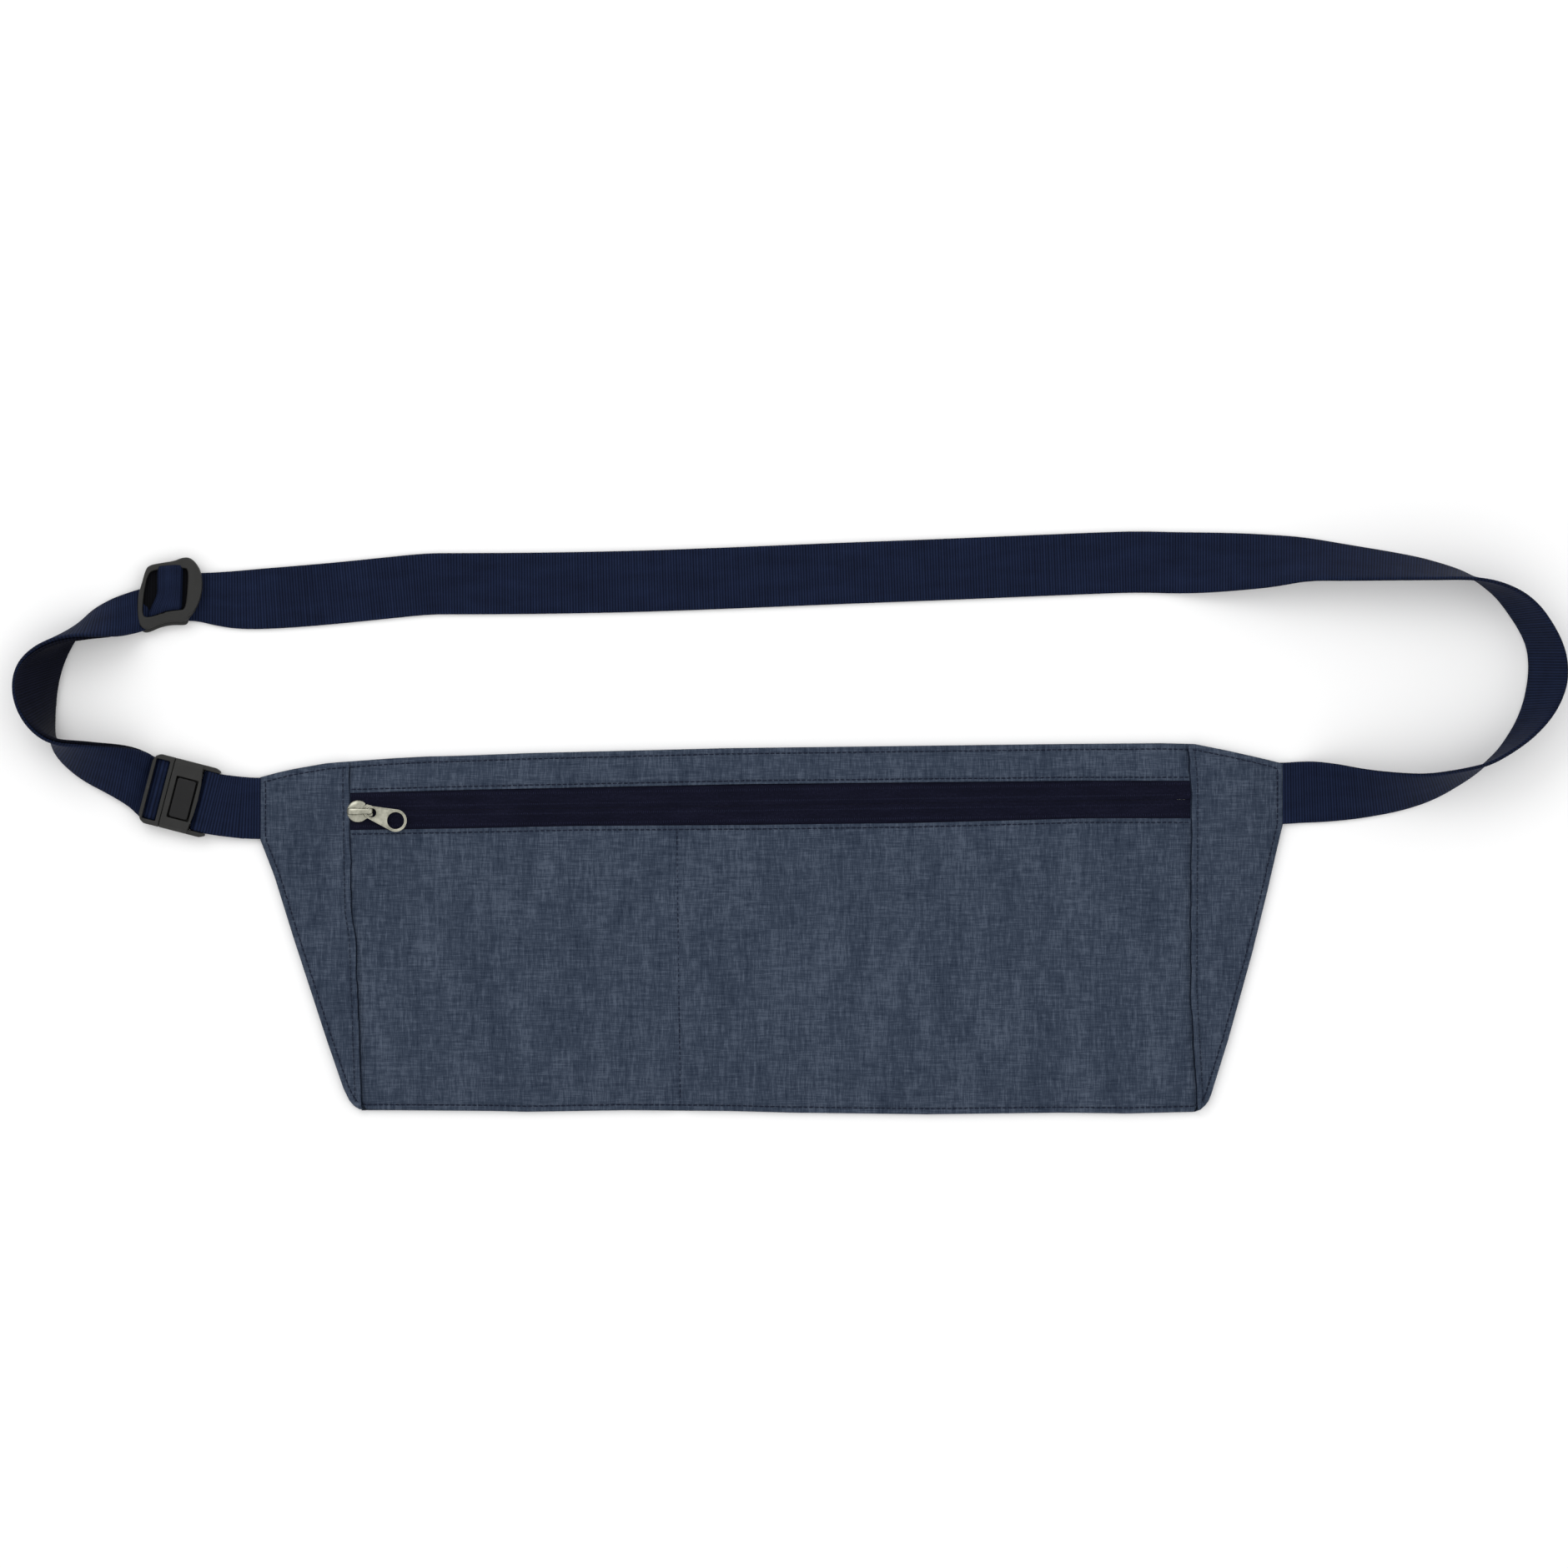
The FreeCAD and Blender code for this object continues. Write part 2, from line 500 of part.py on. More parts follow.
# -- buckle ------------------------------------------------------------------
HW = BUCKLE_HALF_WIDTH
base_plate = buckle_prism([(0.12, -HW), (9.6, -HW), (9.6, HW), (0.12, HW)],
                          0.0, 1.3)
rail_a = buckle_prism([(0.12, 10.1), (0.12, HW), (13.6, HW), (15.2, HW - 0.7),
                       (15.2, 10.1)], 0.0, 4.4)
rail_b = buckle_prism([(0.12, -10.1), (15.2, -10.1), (15.2, -HW + 0.7),
                       (13.6, -HW), (0.12, -HW)], 0.0, 4.4)
top_plate = buckle_prism(
    [(0.12, HW), (9.4, HW), (10.3, 5.0), (10.5, 0.0), (10.3, -5.0),
     (9.4, -HW), (0.12, -HW)], 4.4, BUCKLE_HEIGHT)
window = buckle_box(1.9, 9.2, -7.7, 6.1, 4.0, 7.0)
socket_bar = buckle_box(SBAR[0], SBAR[1], -10.2, 10.2, SBAR[2], SBAR[3])
chamfers = []
for sgn in (1, -1):
    tri = [buckle_point(-1.0, sgn * (HW - 1.3), BUCKLE_HEIGHT + 0.01),
           buckle_point(-1.0, sgn * (HW + 0.1), BUCKLE_HEIGHT + 0.01),
           buckle_point(-1.0, sgn * (HW + 0.1), BUCKLE_HEIGHT - 1.2)]
    f = Part.Face(Part.makePolygon(tri + [tri[0]]))
    chamfers.append(f.extrude(buckle_point(12.0, 0, 0) - buckle_point(0, 0, 0)))
PARTS["buckle_socket"] = base_plate.fuse(
    [rail_a, rail_b, top_plate, socket_bar]).removeSplitter().cut(
    window).cut(chamfers[0]).cut(chamfers[1])

plug_outline = [(-7.1, 8.9), (-6.3, 10.7), (-4.9, HW), (0.0, HW), (0.0, -HW),
                (-4.9, -HW), (-6.3, -10.7), (-7.1, -8.9)]
plug = buckle_prism(plug_outline, 0.1, 5.4)
plug = plug.cut(buckle_box(-5.9, -1.4, -10.0, 10.0, -1, 8))
plug = plug.cut(buckle_box(-8.0, -5.8, -10.0, 10.0, -1, 3.35))
bar = buckle_box(BAR[0], BAR[1], -10.1, 10.1, BAR[2], BAR[3])
prong_a = buckle_prism([(-0.2, 7.9), (-0.2, 9.7), (8.6, 9.7), (8.9, 9.0),
                        (8.6, 7.9)], 1.6, 4.1)
prong_b = buckle_prism([(-0.2, -9.7), (-0.2, -8.2), (8.6, -8.2), (8.9, -9.0),
                        (8.6, -9.7)], 1.6, 4.1)
PARTS["buckle_plug_frame"] = plug.fuse([bar, prong_a, prong_b]).removeSplitter()

# flexing leaf with the push pad that stands in the window
leaf = buckle_box(0.15, 8.9, -6.6, 5.0, 2.9, 3.7)
pad = buckle_prism([(2.4, 5.2), (3.0, 5.7), (8.1, 5.7), (8.6, 5.2),
                    (8.6, -6.8), (8.1, -7.3), (3.0, -7.3), (2.4, -6.8)],
                   3.7, 5.5)
PARTS["release_tongue"] = leaf.fuse(pad).removeSplitter()

# -- adjuster (three-bar slide) ----------------------------------------------
ADJ_OUT = [
    (-203.9, 116.8), (-202.6, 118.4), (-198.3, 119.2), (-194.5, 119.8),
    (-192.3, 120.7), (-190.1, 121.0), (-188.5, 120.4), (-186.9, 118.5),
    (-185.9, 116.6), (-185.4, 114.1), (-185.2, 111.1), (-185.9, 107.6),
    (-186.9, 105.0), (-188.5, 102.7), (-190.5, 99.4), (-195.3, 99.1),
    (-199.1, 98.3), (-202.6, 96.7), (-204.5, 96.7), (-206.2, 98.6),
    (-206.5, 104.3), (-206.2, 108.9), (-205.3, 111.9),
]
ADJ_Z = (1.4, 4.6)
frame = prism(ADJ_OUT, *ADJ_Z)
frame = frame.cut(prism([(-202.6, 116.0), (-200.5, 117.1), (-189.9, 117.9),
                         (-190.7, 104.3), (-204.5, 101.3), (-203.4, 110.0)],
                        0, 9))
d_bar = prism([(-189.6, 118.0), (-188.0, 118.2), (-186.6, 115.0),
               (-186.3, 111.0), (-187.1, 107.0), (-188.8, 104.4),
               (-190.4, 104.6)], ADJ_Z[1], 5.3)
centre_bar = prism([(-198.9, 118.4), (-196.9, 118.6), (-197.5, 100.2),
                    (-199.7, 100.0)], 2.75, 3.85)
PARTS["adjuster_frame"] = frame.fuse([d_bar, centre_bar]).removeSplitter()

# webbing over the middle bar: profiles in x-z, swept across the slide
bar_tilt = math.atan2(18.4, 0.8)


def wrap_piece(profile, half_width, y_mid):
    """profile x-z ring swept along the middle bar"""
    dirx, diry = -0.035, -0.9994
    start = [vec(x - dirx * half_width, y_mid - diry * half_width, z)
             for x, z in profile]
    return Part.Face(Part.makePolygon(start + [start[0]])).extrude(
        vec(dirx * 2 * half_width, diry * 2 * half_width, 0))


MID = 109.95
outer_ring = [(-200.9, 2.4), (-200.5, 1.75), (-199.9, 1.5), (-196.4, 1.5),
              (-195.8, 1.75), (-195.4, 2.4), (-195.4, 4.1), (-195.8, 4.75),
              (-196.4, 5.0), (-199.9, 5.0), (-200.5, 4.75), (-200.9, 4.1)]
inner_ring = [(-199.75, 2.6), (-196.6, 2.6), (-196.6, 4.0), (-199.75, 4.0)]
wrap = wrap_piece(outer_ring, 6.0, MID).cut(wrap_piece(inner_ring, 8.0, MID))
wrap = wrap.cut(centre_bar)
PARTS["strap_end_wrap"] = wrap
hump_profile = [(-202.3, 1.5), (-201.1, 1.5), (-201.1, 4.2), (-200.6, 4.9),
                (-200.0, 5.15), (-196.3, 5.15), (-195.7, 4.9), (-195.2, 4.2),
                (-195.2, 1.5), (-194.0, 1.5), (-194.0, 4.5), (-194.6, 5.6),
                (-195.7, 6.3), (-200.6, 6.3), (-201.7, 5.6), (-202.3, 4.5)]
PARTS["strap_over_bar"] = wrap_piece(hump_profile, 6.0, MID)

# -- export ------------------------------------------------------------------
os.makedirs("parts", exist_ok=True)
for name, shape in PARTS.items():
    shape.exportStep(f"parts/{name}.step")
    n_solid = len(shape.Solids)
    ok = shape.isValid() and all(s.isClosed() for s in shape.Shells)
    print(f"{name:22s} solids {n_solid:3d} faces {len(shape.Faces):5d} "
          f"vol {shape.Volume:10.2f} valid {ok}")
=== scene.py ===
import math

import bmesh
import bpy
import numpy as np
from mathutils import Matrix, Vector, noise


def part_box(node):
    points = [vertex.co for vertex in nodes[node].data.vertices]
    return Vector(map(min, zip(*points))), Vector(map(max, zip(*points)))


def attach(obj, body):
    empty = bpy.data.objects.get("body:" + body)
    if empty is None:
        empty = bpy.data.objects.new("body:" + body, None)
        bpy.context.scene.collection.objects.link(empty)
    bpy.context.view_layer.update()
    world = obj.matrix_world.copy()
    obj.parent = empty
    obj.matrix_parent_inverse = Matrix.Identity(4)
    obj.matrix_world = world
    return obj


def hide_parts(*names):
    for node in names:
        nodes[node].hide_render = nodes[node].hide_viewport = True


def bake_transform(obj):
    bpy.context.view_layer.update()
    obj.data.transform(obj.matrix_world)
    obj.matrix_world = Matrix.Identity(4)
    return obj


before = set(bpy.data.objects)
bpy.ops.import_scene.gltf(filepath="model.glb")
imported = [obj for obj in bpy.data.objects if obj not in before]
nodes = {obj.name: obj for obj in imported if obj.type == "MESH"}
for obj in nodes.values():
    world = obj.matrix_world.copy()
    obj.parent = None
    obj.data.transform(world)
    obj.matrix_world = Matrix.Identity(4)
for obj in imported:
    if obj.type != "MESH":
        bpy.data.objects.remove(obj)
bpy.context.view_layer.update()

MM = 0.001
scene = bpy.context.scene

# ---------------------------------------------------------------------------
# camera, floor and light
# ---------------------------------------------------------------------------
CAM = (4.08 * MM, 47.2 * MM, 2.4)
cam_data = bpy.data.cameras.new("view_camera")
cam_data.sensor_width = 36.0
cam_data.lens = 36.0 * CAM[2] / 0.51136
cam_data.clip_end = 50
cam = bpy.data.objects.new("view_camera", cam_data)
cam.location = CAM
scene.collection.objects.link(cam)
scene.camera = cam

scene.view_settings.view_transform = "Standard"
scene.view_settings.look = "None"

world = bpy.data.worlds.new("studio")
world.use_nodes = True
world.node_tree.nodes["Background"].inputs[0].default_value = (1, 1, 1, 1)
world.node_tree.nodes["Background"].inputs[1].default_value = 0.96
scene.world = world


def area_light(name, loc, size, power, target=(0, 0.03, 0)):
    data = bpy.data.lights.new(name, "AREA")
    data.shape = "RECTANGLE"
    data.size, data.size_y = size
    data.energy = power
    ob = bpy.data.objects.new(name, data)
    ob.location = loc
    ob.rotation_euler = (Vector(target) - Vector(loc)).to_track_quat(
        "-Z", "Y").to_euler()
    scene.collection.objects.link(ob)
    return ob


area_light("key_softbox", (-0.75, 0.95, 1.25), (1.2, 0.8), 5.5)
area_light("fill_softbox", (1.1, 0.2, 1.3), (1.2, 1.2), 2.5)

bpy.ops.mesh.primitive_plane_add(size=6.0, location=(0, 0, -0.0002))
floor = bpy.context.object
floor.name = "studio_floor"


# ---------------------------------------------------------------------------
# material helpers
# ---------------------------------------------------------------------------
def lin(c):
    return tuple(((v / 255 / 12.92) if v <= 10.3 else
                  ((v / 255 + 0.055) / 1.055) ** 2.4) for v in c) + (1.0,)


class Mat:
    """Small builder for node materials."""

    def __init__(self, name):
        self.m = bpy.data.materials.new(name)
        self.m.use_nodes = True
        self.t = self.m.node_tree
        self.b = self.t.nodes["Principled BSDF"]

    def n(self, kind, **props):
        node = self.t.nodes.new(kind)
        for k, v in props.items():
            setattr(node, k, v)
        return node

    def link(self, a, b):
        self.t.links.new(a, b)

    def coords(self, which="Object"):
        return self.n("ShaderNodeTexCoord").outputs[which]

    def scaled(self, src, scale, rot=(0, 0, 0)):
        mp = self.n("ShaderNodeMapping")
        mp.inputs["Scale"].default_value = scale
        mp.inputs["Rotation"].default_value = rot
        self.link(src, mp.inputs["Vector"])
        return mp.outputs["Vector"]

    def noise(self, vec, scale=1.0, detail=3.0, rough=0.6):
        tx = self.n("ShaderNodeTexNoise")
        tx.inputs["Scale"].default_value = scale
        tx.inputs["Detail"].default_value = detail
        tx.inputs["Roughness"].default_value = rough
        self.link(vec, tx.inputs["Vector"])
        return tx.outputs["Fac"]

    def wave(self, vec, scale, direction="X", profile="SIN", distortion=0.0):
        tx = self.n("ShaderNodeTexWave")
        tx.bands_direction = direction
        tx.wave_profile = profile
        tx.inputs["Scale"].default_value = scale
        tx.inputs["Distortion"].default_value = distortion
        tx.inputs["Detail"].default_value = 0.0
        self.link(vec, tx.inputs["Vector"])
        return tx.outputs["Fac"]

    def math(self, op, a, b=None, clamp=False):
        nd = self.n("ShaderNodeMath", operation=op, use_clamp=clamp)
        for i, v in enumerate((a, b)):
            if v is None:
                continue
            if isinstance(v, (int, float)):
                nd.inputs[i].default_value = v
            else:
                self.link(v, nd.inputs[i])
        return nd.outputs[0]

    def ramp(self, fac, stops):
        nd = self.n("ShaderNodeValToRGB")
        els = nd.color_ramp.elements
        while len(els) < len(stops):
            els.new(0.5)
        for e, (p, c) in zip(els, stops):
            e.position = p
            e.color = c
        self.link(fac, nd.inputs["Fac"])
        return nd.outputs["Color"]

    def bump(self, height, strength, distance):
        nd = self.n("ShaderNodeBump")
        nd.inputs["Strength"].default_value = strength
        nd.inputs["Distance"].default_value = distance
        self.link(height, nd.inputs["Height"])
        self.link(nd.outputs["Normal"], self.b.inputs["Normal"])

    def set(self, **kw):
        for k, v in kw.items():
            self.b.inputs[k.replace("_", " ")].default_value = v


def gray(v):
    return (v, v, v, 1)


def fabric_material(name, dark, mid, light, seed=0.0):
    """Melange plain weave: warp and weft yarns each with their own slubs."""
    k = Mat(name)
    co = k.coords()
    off = k.n("ShaderNodeVectorMath", operation="ADD")
    off.inputs[1].default_value = (seed, seed * 0.37, 0.0)
    k.link(co, off.inputs[0])
    v = off.outputs[0]
    warp = k.noise(k.scaled(v, (3000, 230, 1)), 1.0, 2.0, 0.65)
    weft = k.noise(k.scaled(v, (210, 3000, 1)), 1.0, 2.0, 0.65)
    warp2 = k.noise(k.scaled(v, (950, 75, 1)), 1.0, 3.0, 0.6)
    weft2 = k.noise(k.scaled(v, (75, 1050, 1)), 1.0, 3.0, 0.6)
    band = k.noise(k.scaled(v, (85, 22, 1)), 1.0, 3.0, 0.6)
    blot = k.noise(k.scaled(v, (240, 200, 1)), 1.0, 4.0, 0.7)
    s = k.math("MULTIPLY", warp, 0.9)
    s = k.math("ADD", s, k.math("MULTIPLY", weft, 0.75))
    s = k.math("ADD", s, k.math("MULTIPLY", warp2, 0.62))
    s = k.math("ADD", s, k.math("MULTIPLY", weft2, 0.48))
    s = k.math("ADD", s, k.math("MULTIPLY", band, 0.5))
    s = k.math("ADD", s, k.math("MULTIPLY", blot, 0.38))
    # mean of the sum is 0.5 * 3.8 = 1.9; spread it over the ramp
    fac = k.math("ADD", k.math("MULTIPLY", k.math("SUBTRACT", s, 1.815), 1.5),
                 0.5, clamp=True)
    col = k.ramp(fac, [(0.0, dark), (0.28, lerp(dark, mid, 0.6)), (0.5, mid),
                       (0.72, lerp(mid, light, 0.55)), (1.0, light)])
    k.link(col, k.b.inputs["Base Color"])
    wx = k.wave(v, 1 / 0.00046 / 2 * 0.62, "X")
    wy = k.wave(v, 1 / 0.00046 / 2 * 0.62, "Y")
    h = k.math("ADD", k.math("MULTIPLY", wx, 0.5), k.math("MULTIPLY", wy, 0.5))
    h = k.math("ADD", h, k.math("MULTIPLY", s, 0.8))
    k.bump(h, 0.55, 0.00012)
    k.set(Roughness=0.95, Sheen_Weight=0.012, Sheen_Roughness=0.5)
    k.b.inputs["Specular IOR Level"].default_value = 0.06
    return k.m


def lerp(a, b, t):
    return tuple(x + (y - x) * t for x, y in zip(a, b))


def webbing_material(name, base, pitch=0.00092):
    """Grosgrain ribs; UV runs along and across the webbing in metres."""
    k = Mat(name)
    uv = k.coords("UV")
    sep = k.n("ShaderNodeSeparateXYZ")
    k.link(uv, sep.inputs[0])
    ribs = k.math("ABSOLUTE", k.math("SINE", k.math(
        "MULTIPLY", sep.outputs[0], math.pi / pitch)))
    yarn = k.noise(k.scaled(uv, (1500, 2600, 1)), 1.0, 2.0, 0.6)
    soft = k.noise(k.scaled(uv, (55, 190, 1)), 1.0, 3.0, 0.6)
    row = k.noise(k.scaled(uv, (900, 20, 1)), 1.0, 1.0, 0.5)
    # the rib term lightens the rib ridges and darkens the gaps between them in
    # the base colour: painted highlight and painted shade of the ribs
    s = k.math("ADD", k.math("MULTIPLY", ribs, 0.62),
               k.math("MULTIPLY", k.math("SUBTRACT", yarn, 0.5), 0.34))
    s = k.math("ADD", s, k.math("MULTIPLY", k.math("SUBTRACT", soft, 0.5),
                                0.5))
    s = k.math("ADD", s, k.math("MULTIPLY", k.math("SUBTRACT", row, 0.5),
                                0.4))
    d, m, l = base
    col = k.ramp(s, [(0.0, d), (0.40, m), (0.8, l)])
    k.link(col, k.b.inputs["Base Color"])
    k.bump(k.math("ADD", yarn, k.math("MULTIPLY", ribs, 1.5)), 0.5, 0.00012)
    k.set(Roughness=0.75, Sheen_Weight=0.004, Sheen_Roughness=0.4)
    k.b.inputs["Specular IOR Level"].default_value = 0.08
    return k.m


def tape_material(name):
    """Knitted zip tape: fine wales along the zip."""
    k = Mat(name)
    v = k.scaled(k.coords(), (1, 1, 1), (0, 0, -0.01437))
    fine = k.noise(k.scaled(v, (1500, 1500, 1)), 1.0, 2.0, 0.6)
    wale = k.wave(k.scaled(v, (1, 1, 1)), 560.0, "Y", distortion=0.0)
    soft = k.noise(k.scaled(v, (60, 260, 1)), 1.0, 3.0, 0.6)
    s = k.math("ADD", k.math("MULTIPLY", fine, 0.55),
               k.math("MULTIPLY", soft, 0.45))
    k.link(k.ramp(s, [(0.3, lin((9, 10, 22))), (0.5, lin((14, 15, 30))),
                      (0.72, lin((24, 25, 42)))]), k.b.inputs["Base Color"])
    k.bump(k.math("ADD", wale, fine), 0.5, 0.00008)
    k.set(Roughness=0.85, Sheen_Weight=0.003)
    k.b.inputs["Specular IOR Level"].default_value = 0.06
    return k.m


def thread_material(name, c0, c1):
    k = Mat(name)
    f = k.noise(k.scaled(k.coords(), (2500, 2500, 2500)), 1.0, 1.0, 0.5)
    k.link(k.ramp(f, [(0.3, c0), (0.7, c1)]), k.b.inputs["Base Color"])
    k.set(Roughness=0.7)
    k.b.inputs["Specular IOR Level"].default_value = 0.12
    return k.m


def plastic_material(name, c):
    """Moulded acetal: fine spark grain with slightly rubbed high spots."""
    k = Mat(name)
    co = k.coords()
    grain = k.noise(k.scaled(co, (4200, 4200, 4200)), 1.0, 2.0, 0.6)
    cloud = k.noise(k.scaled(co, (220, 220, 220)), 1.0, 3.0, 0.6)
    f = k.math("ADD", k.math("MULTIPLY", grain, 0.4),
               k.math("MULTIPLY", cloud, 0.6))
    k.link(k.ramp(f, [(0.3, lerp(c, gray(0), 0.2)), (0.6, c),
                      (0.8, lerp(c, gray(0.12), 0.25))]),
           k.b.inputs["Base Color"])
    r = k.math("ADD", k.math("MULTIPLY", cloud, 0.25), 0.33)
    k.link(r, k.b.inputs["Roughness"])
    k.bump(grain, 0.22, 0.00006)
    k.b.inputs["Specular IOR Level"].default_value = 0.26
    return k.m


def metal_material(name):
    """Satin nickel plate with fine handling marks."""
    k = Mat(name)
    co = k.coords()
    cloud = k.noise(k.scaled(co, (500, 500, 500)), 1.0, 3.0, 0.6)
    fine = k.noise(k.scaled(co, (5200, 1800, 3000)), 1.0, 2.0, 0.6)
    k.link(k.ramp(cloud, [(0.3, lin((138, 138, 125))),
                          (0.7, lin((184, 183, 168)))]),
           k.b.inputs["Base Color"])
    k.set(Metallic=1.0)
    k.link(k.math("ADD", k.math("MULTIPLY", cloud, 0.22), 0.24),
           k.b.inputs["Roughness"])
    k.bump(fine, 0.25, 0.00004)
    return k.m


FAB = (lin((34, 43, 58)), lin((53, 62, 77)), lin((77, 86, 101)))
M_FRONT = fabric_material("melange_fabric", FAB[0], FAB[1], FAB[2])
M_WING = fabric_material("melange_fabric_wing", FAB[0], FAB[1], FAB[2],
                         0.61)
M_BACK = fabric_material("melange_fabric_back", FAB[0], FAB[1], FAB[2],
                         1.73)
WEB = (lin((4, 8, 25)), lin((14, 23, 45)), lin((26, 36, 63)))
M_WEB = webbing_material("ribbed_webbing", WEB)
# darker copy of the webbing colours: painted shade for the inner loop layer,
# which lies in the outer layer's shadow
SHADED_WEB_COLS = (lin((3, 4, 11)), lin((9, 11, 24)), lin((17, 20, 36)))
M_WEB_PAINTED_SHADE = webbing_material("ribbed_webbing_painted_shade", SHADED_WEB_COLS)
M_SHADE = webbing_material("webbing_in_shade", (lin((1, 1, 3)), lin((3, 4, 8)),
                                                  lin((6, 7, 14))))
# fabric colours darkened: painted shade for the shadow line under the wing
# folds
M_FOLD_SHADE = fabric_material("fold_painted_shade_cloth", lin((14, 19, 30)), lin((24, 31, 44)),
                         lin((36, 44, 58)), 5.2)
M_TAPE = tape_material("zip_tape_knit")
M_COIL = plastic_material("nylon_coil", lin((22, 23, 38)))
M_THREAD = thread_material("navy_thread", lin((13, 18, 34)), lin((29, 36, 55)))
M_WINGTHREAD = thread_material("wing_thread", lin((24, 31, 47)),
                               lin((38, 46, 62)))
M_TAPETHREAD = thread_material("tape_thread", lin((17, 19, 36)),
                               lin((28, 32, 56)))
M_PLASTIC = plastic_material("black_acetal", lin((37, 37, 36)))
M_PAD = plastic_material("black_acetal_button", lin((17, 17, 18)))
M_METAL = metal_material("satin_nickel")
M_LINING = fabric_material("dark_lining", lin((24, 28, 38)),
                           lin((34, 38, 50)), lin((46, 50, 62)), 4.4)

fm = Mat("pale_floor")
fn = fm.noise(fm.scaled(fm.coords(), (3, 3, 3)), 1.0, 3.0, 0.5)
fm.link(fm.ramp(fn, [(0.3, gray(0.93)), (0.7, gray(0.96))]),
        fm.b.inputs["Base Color"])
fm.set(Roughness=0.9)
fm.b.inputs["Specular IOR Level"].default_value = 0.1
floor.data.materials.append(fm.m)


# ---------------------------------------------------------------------------
# mesh helpers
# ---------------------------------------------------------------------------
def make_obj(name, verts, faces, mat, smooth=True, uvs=None):
    me = bpy.data.meshes.new(name)
    me.from_pydata([tuple(v) for v in np.asarray(verts, float)], [],
                   [tuple(f) for f in faces])
    me.update()
    if smooth:
        me.polygons.foreach_set("use_smooth", [True] * len(me.polygons))
    if uvs is not None:
        layer = me.uv_layers.new(name="UVMap")
        idx = np.zeros(len(me.loops), np.int32)
        me.loops.foreach_get("vertex_index", idx)
        layer.data.foreach_set("uv", np.asarray(uvs, np.float32)[idx].ravel())
    ob = bpy.data.objects.new(name, me)
    scene.collection.objects.link(ob)
    me.materials.append(mat)
    return ob


def grid_faces(nu, nv, base=0, closed_v=False, flip=False):
    out = []
    for i in range(nu - 1):
        for j in range(nv if closed_v else nv - 1):
            a = base + i * nv + j
            b = base + i * nv + (j + 1) % nv
            c = base + (i + 1) * nv + (j + 1) % nv
            d = base + (i + 1) * nv + j
            out.append((a, d, c, b) if flip else (a, b, c, d))
    return out


def fbm(x, y, scale, seed=0.0, octaves=2):
    """Smooth noise over arrays, about -1..1; scale in metres."""
    x, y = np.asarray(x, float), np.asarray(y, float)
    out = np.zeros(x.shape)
    flat_x, flat_y = x.ravel(), y.ravel()
    amp, f = 1.0, 1.0 / scale
    for o in range(octaves):
        vals = [noise.noise(Vector((a * f + seed, b * f + 7.1 * o, seed)))
                for a, b in zip(flat_x, flat_y)]
        out += amp * np.array(vals).reshape(x.shape)
        amp *= 0.5
        f *= 2.0
    return out * 1.4


def tab(rows):
    return np.array(rows, float) * MM


TOP = tab([(-166.74, 49.37), (-161.30, 50.86), (-155.86, 52.09),
           (-144.98, 53.99), (-134.10, 54.81), (-123.22, 55.62),
           (-112.34, 56.17), (-101.46, 56.44), (-79.70, 57.26),
           (-57.94, 57.80), (-36.18, 58.34), (-14.42, 58.89), (7.34, 59.16),
           (29.10, 59.43), (50.86, 59.70), (72.62, 59.98), (94.38, 60.25),
           (127.02, 60.52), (137.90, 60.25), (148.78, 58.07),
           (159.66, 55.62), (166.74, 53.86)])
RIGHT = tab([(166.74, 53.86), (166.74, 34.14), (164.56, 24.89),
             (161.84, 12.92), (159.12, 1.77), (156.40, -9.11),
             (148.78, -36.58), (143.34, -53.99), (142.5, -56.1),
             (141.44, -57.53), (139.9, -58.9), (137.90, -59.70)])
BOTTOM = tab([(137.90, -59.70), (116.14, -60.25), (94.38, -59.98),
              (72.62, -60.25), (50.86, -60.52), (7.34, -59.98),
              (-14.42, -59.43), (-47.06, -59.16), (-79.70, -59.70),
              (-90.58, -59.43), (-123.22, -59.16), (-131.92, -59.16)])
LEFT = tab([(-131.92, -59.16), (-134.3, -58.8), (-136.00, -57.80),
            (-137.6, -56.0), (-139.54, -52.09), (-144.98, -36.31),
            (-155.86, -2.86), (-162.11, 17.27), (-166.74, 29.24),
            (-166.74, 49.37)])
SEAM_L = tab([(-137.63, 54.81), (-137.09, 17.27), (-136.82, 5.30),
              (-135.46, -3.13), (-134.91, -18.09), (-133.55, -59.16)])
SEAM_R = tab([(135.73, 60.25), (136.82, 46.38), (136.54, -19.99),
              (137.36, -34.41), (138.99, -59.70)])
TAPE_TOP = tab([(-141.44, 44.25), (-136.00, 44.34), (-99.28, 45.29),
                (-61.20, 46.10), (-6.80, 47.19), (47.60, 47.74),
                (102.00, 48.28), (136.00, 48.28), (141.44, 48.28)])
TAPE_BOT = tab([(-141.44, 32.15), (-136.00, 32.23), (-99.28, 32.78),
                (-61.20, 33.59), (-6.80, 33.86), (47.60, 34.54),
                (102.00, 36.04), (136.00, 36.04), (141.44, 36.09)])
DIVIDER = tab([(-30.74, 33.05), (-30.46, 3.67), (-29.92, -37.13),
               (-29.65, -59.16)])


def resample(line, step):
    seg = np.hypot(*np.diff(line, axis=0).T)
    s = np.concatenate([[0], np.cumsum(seg)])
    n = max(3, int(round(s[-1] / step)) + 1)
    t = np.linspace(0, s[-1], n)
    return np.stack([np.interp(t, s, line[:, 0]),
                     np.interp(t, s, line[:, 1])], -1)


def at_x(line, x):
    order = np.argsort(line[:, 0])
    return np.interp(x, line[order, 0], line[order, 1])


def at_y(line, y):
    order = np.argsort(line[:, 1])
    return np.interp(y, line[order, 1], line[order, 0])


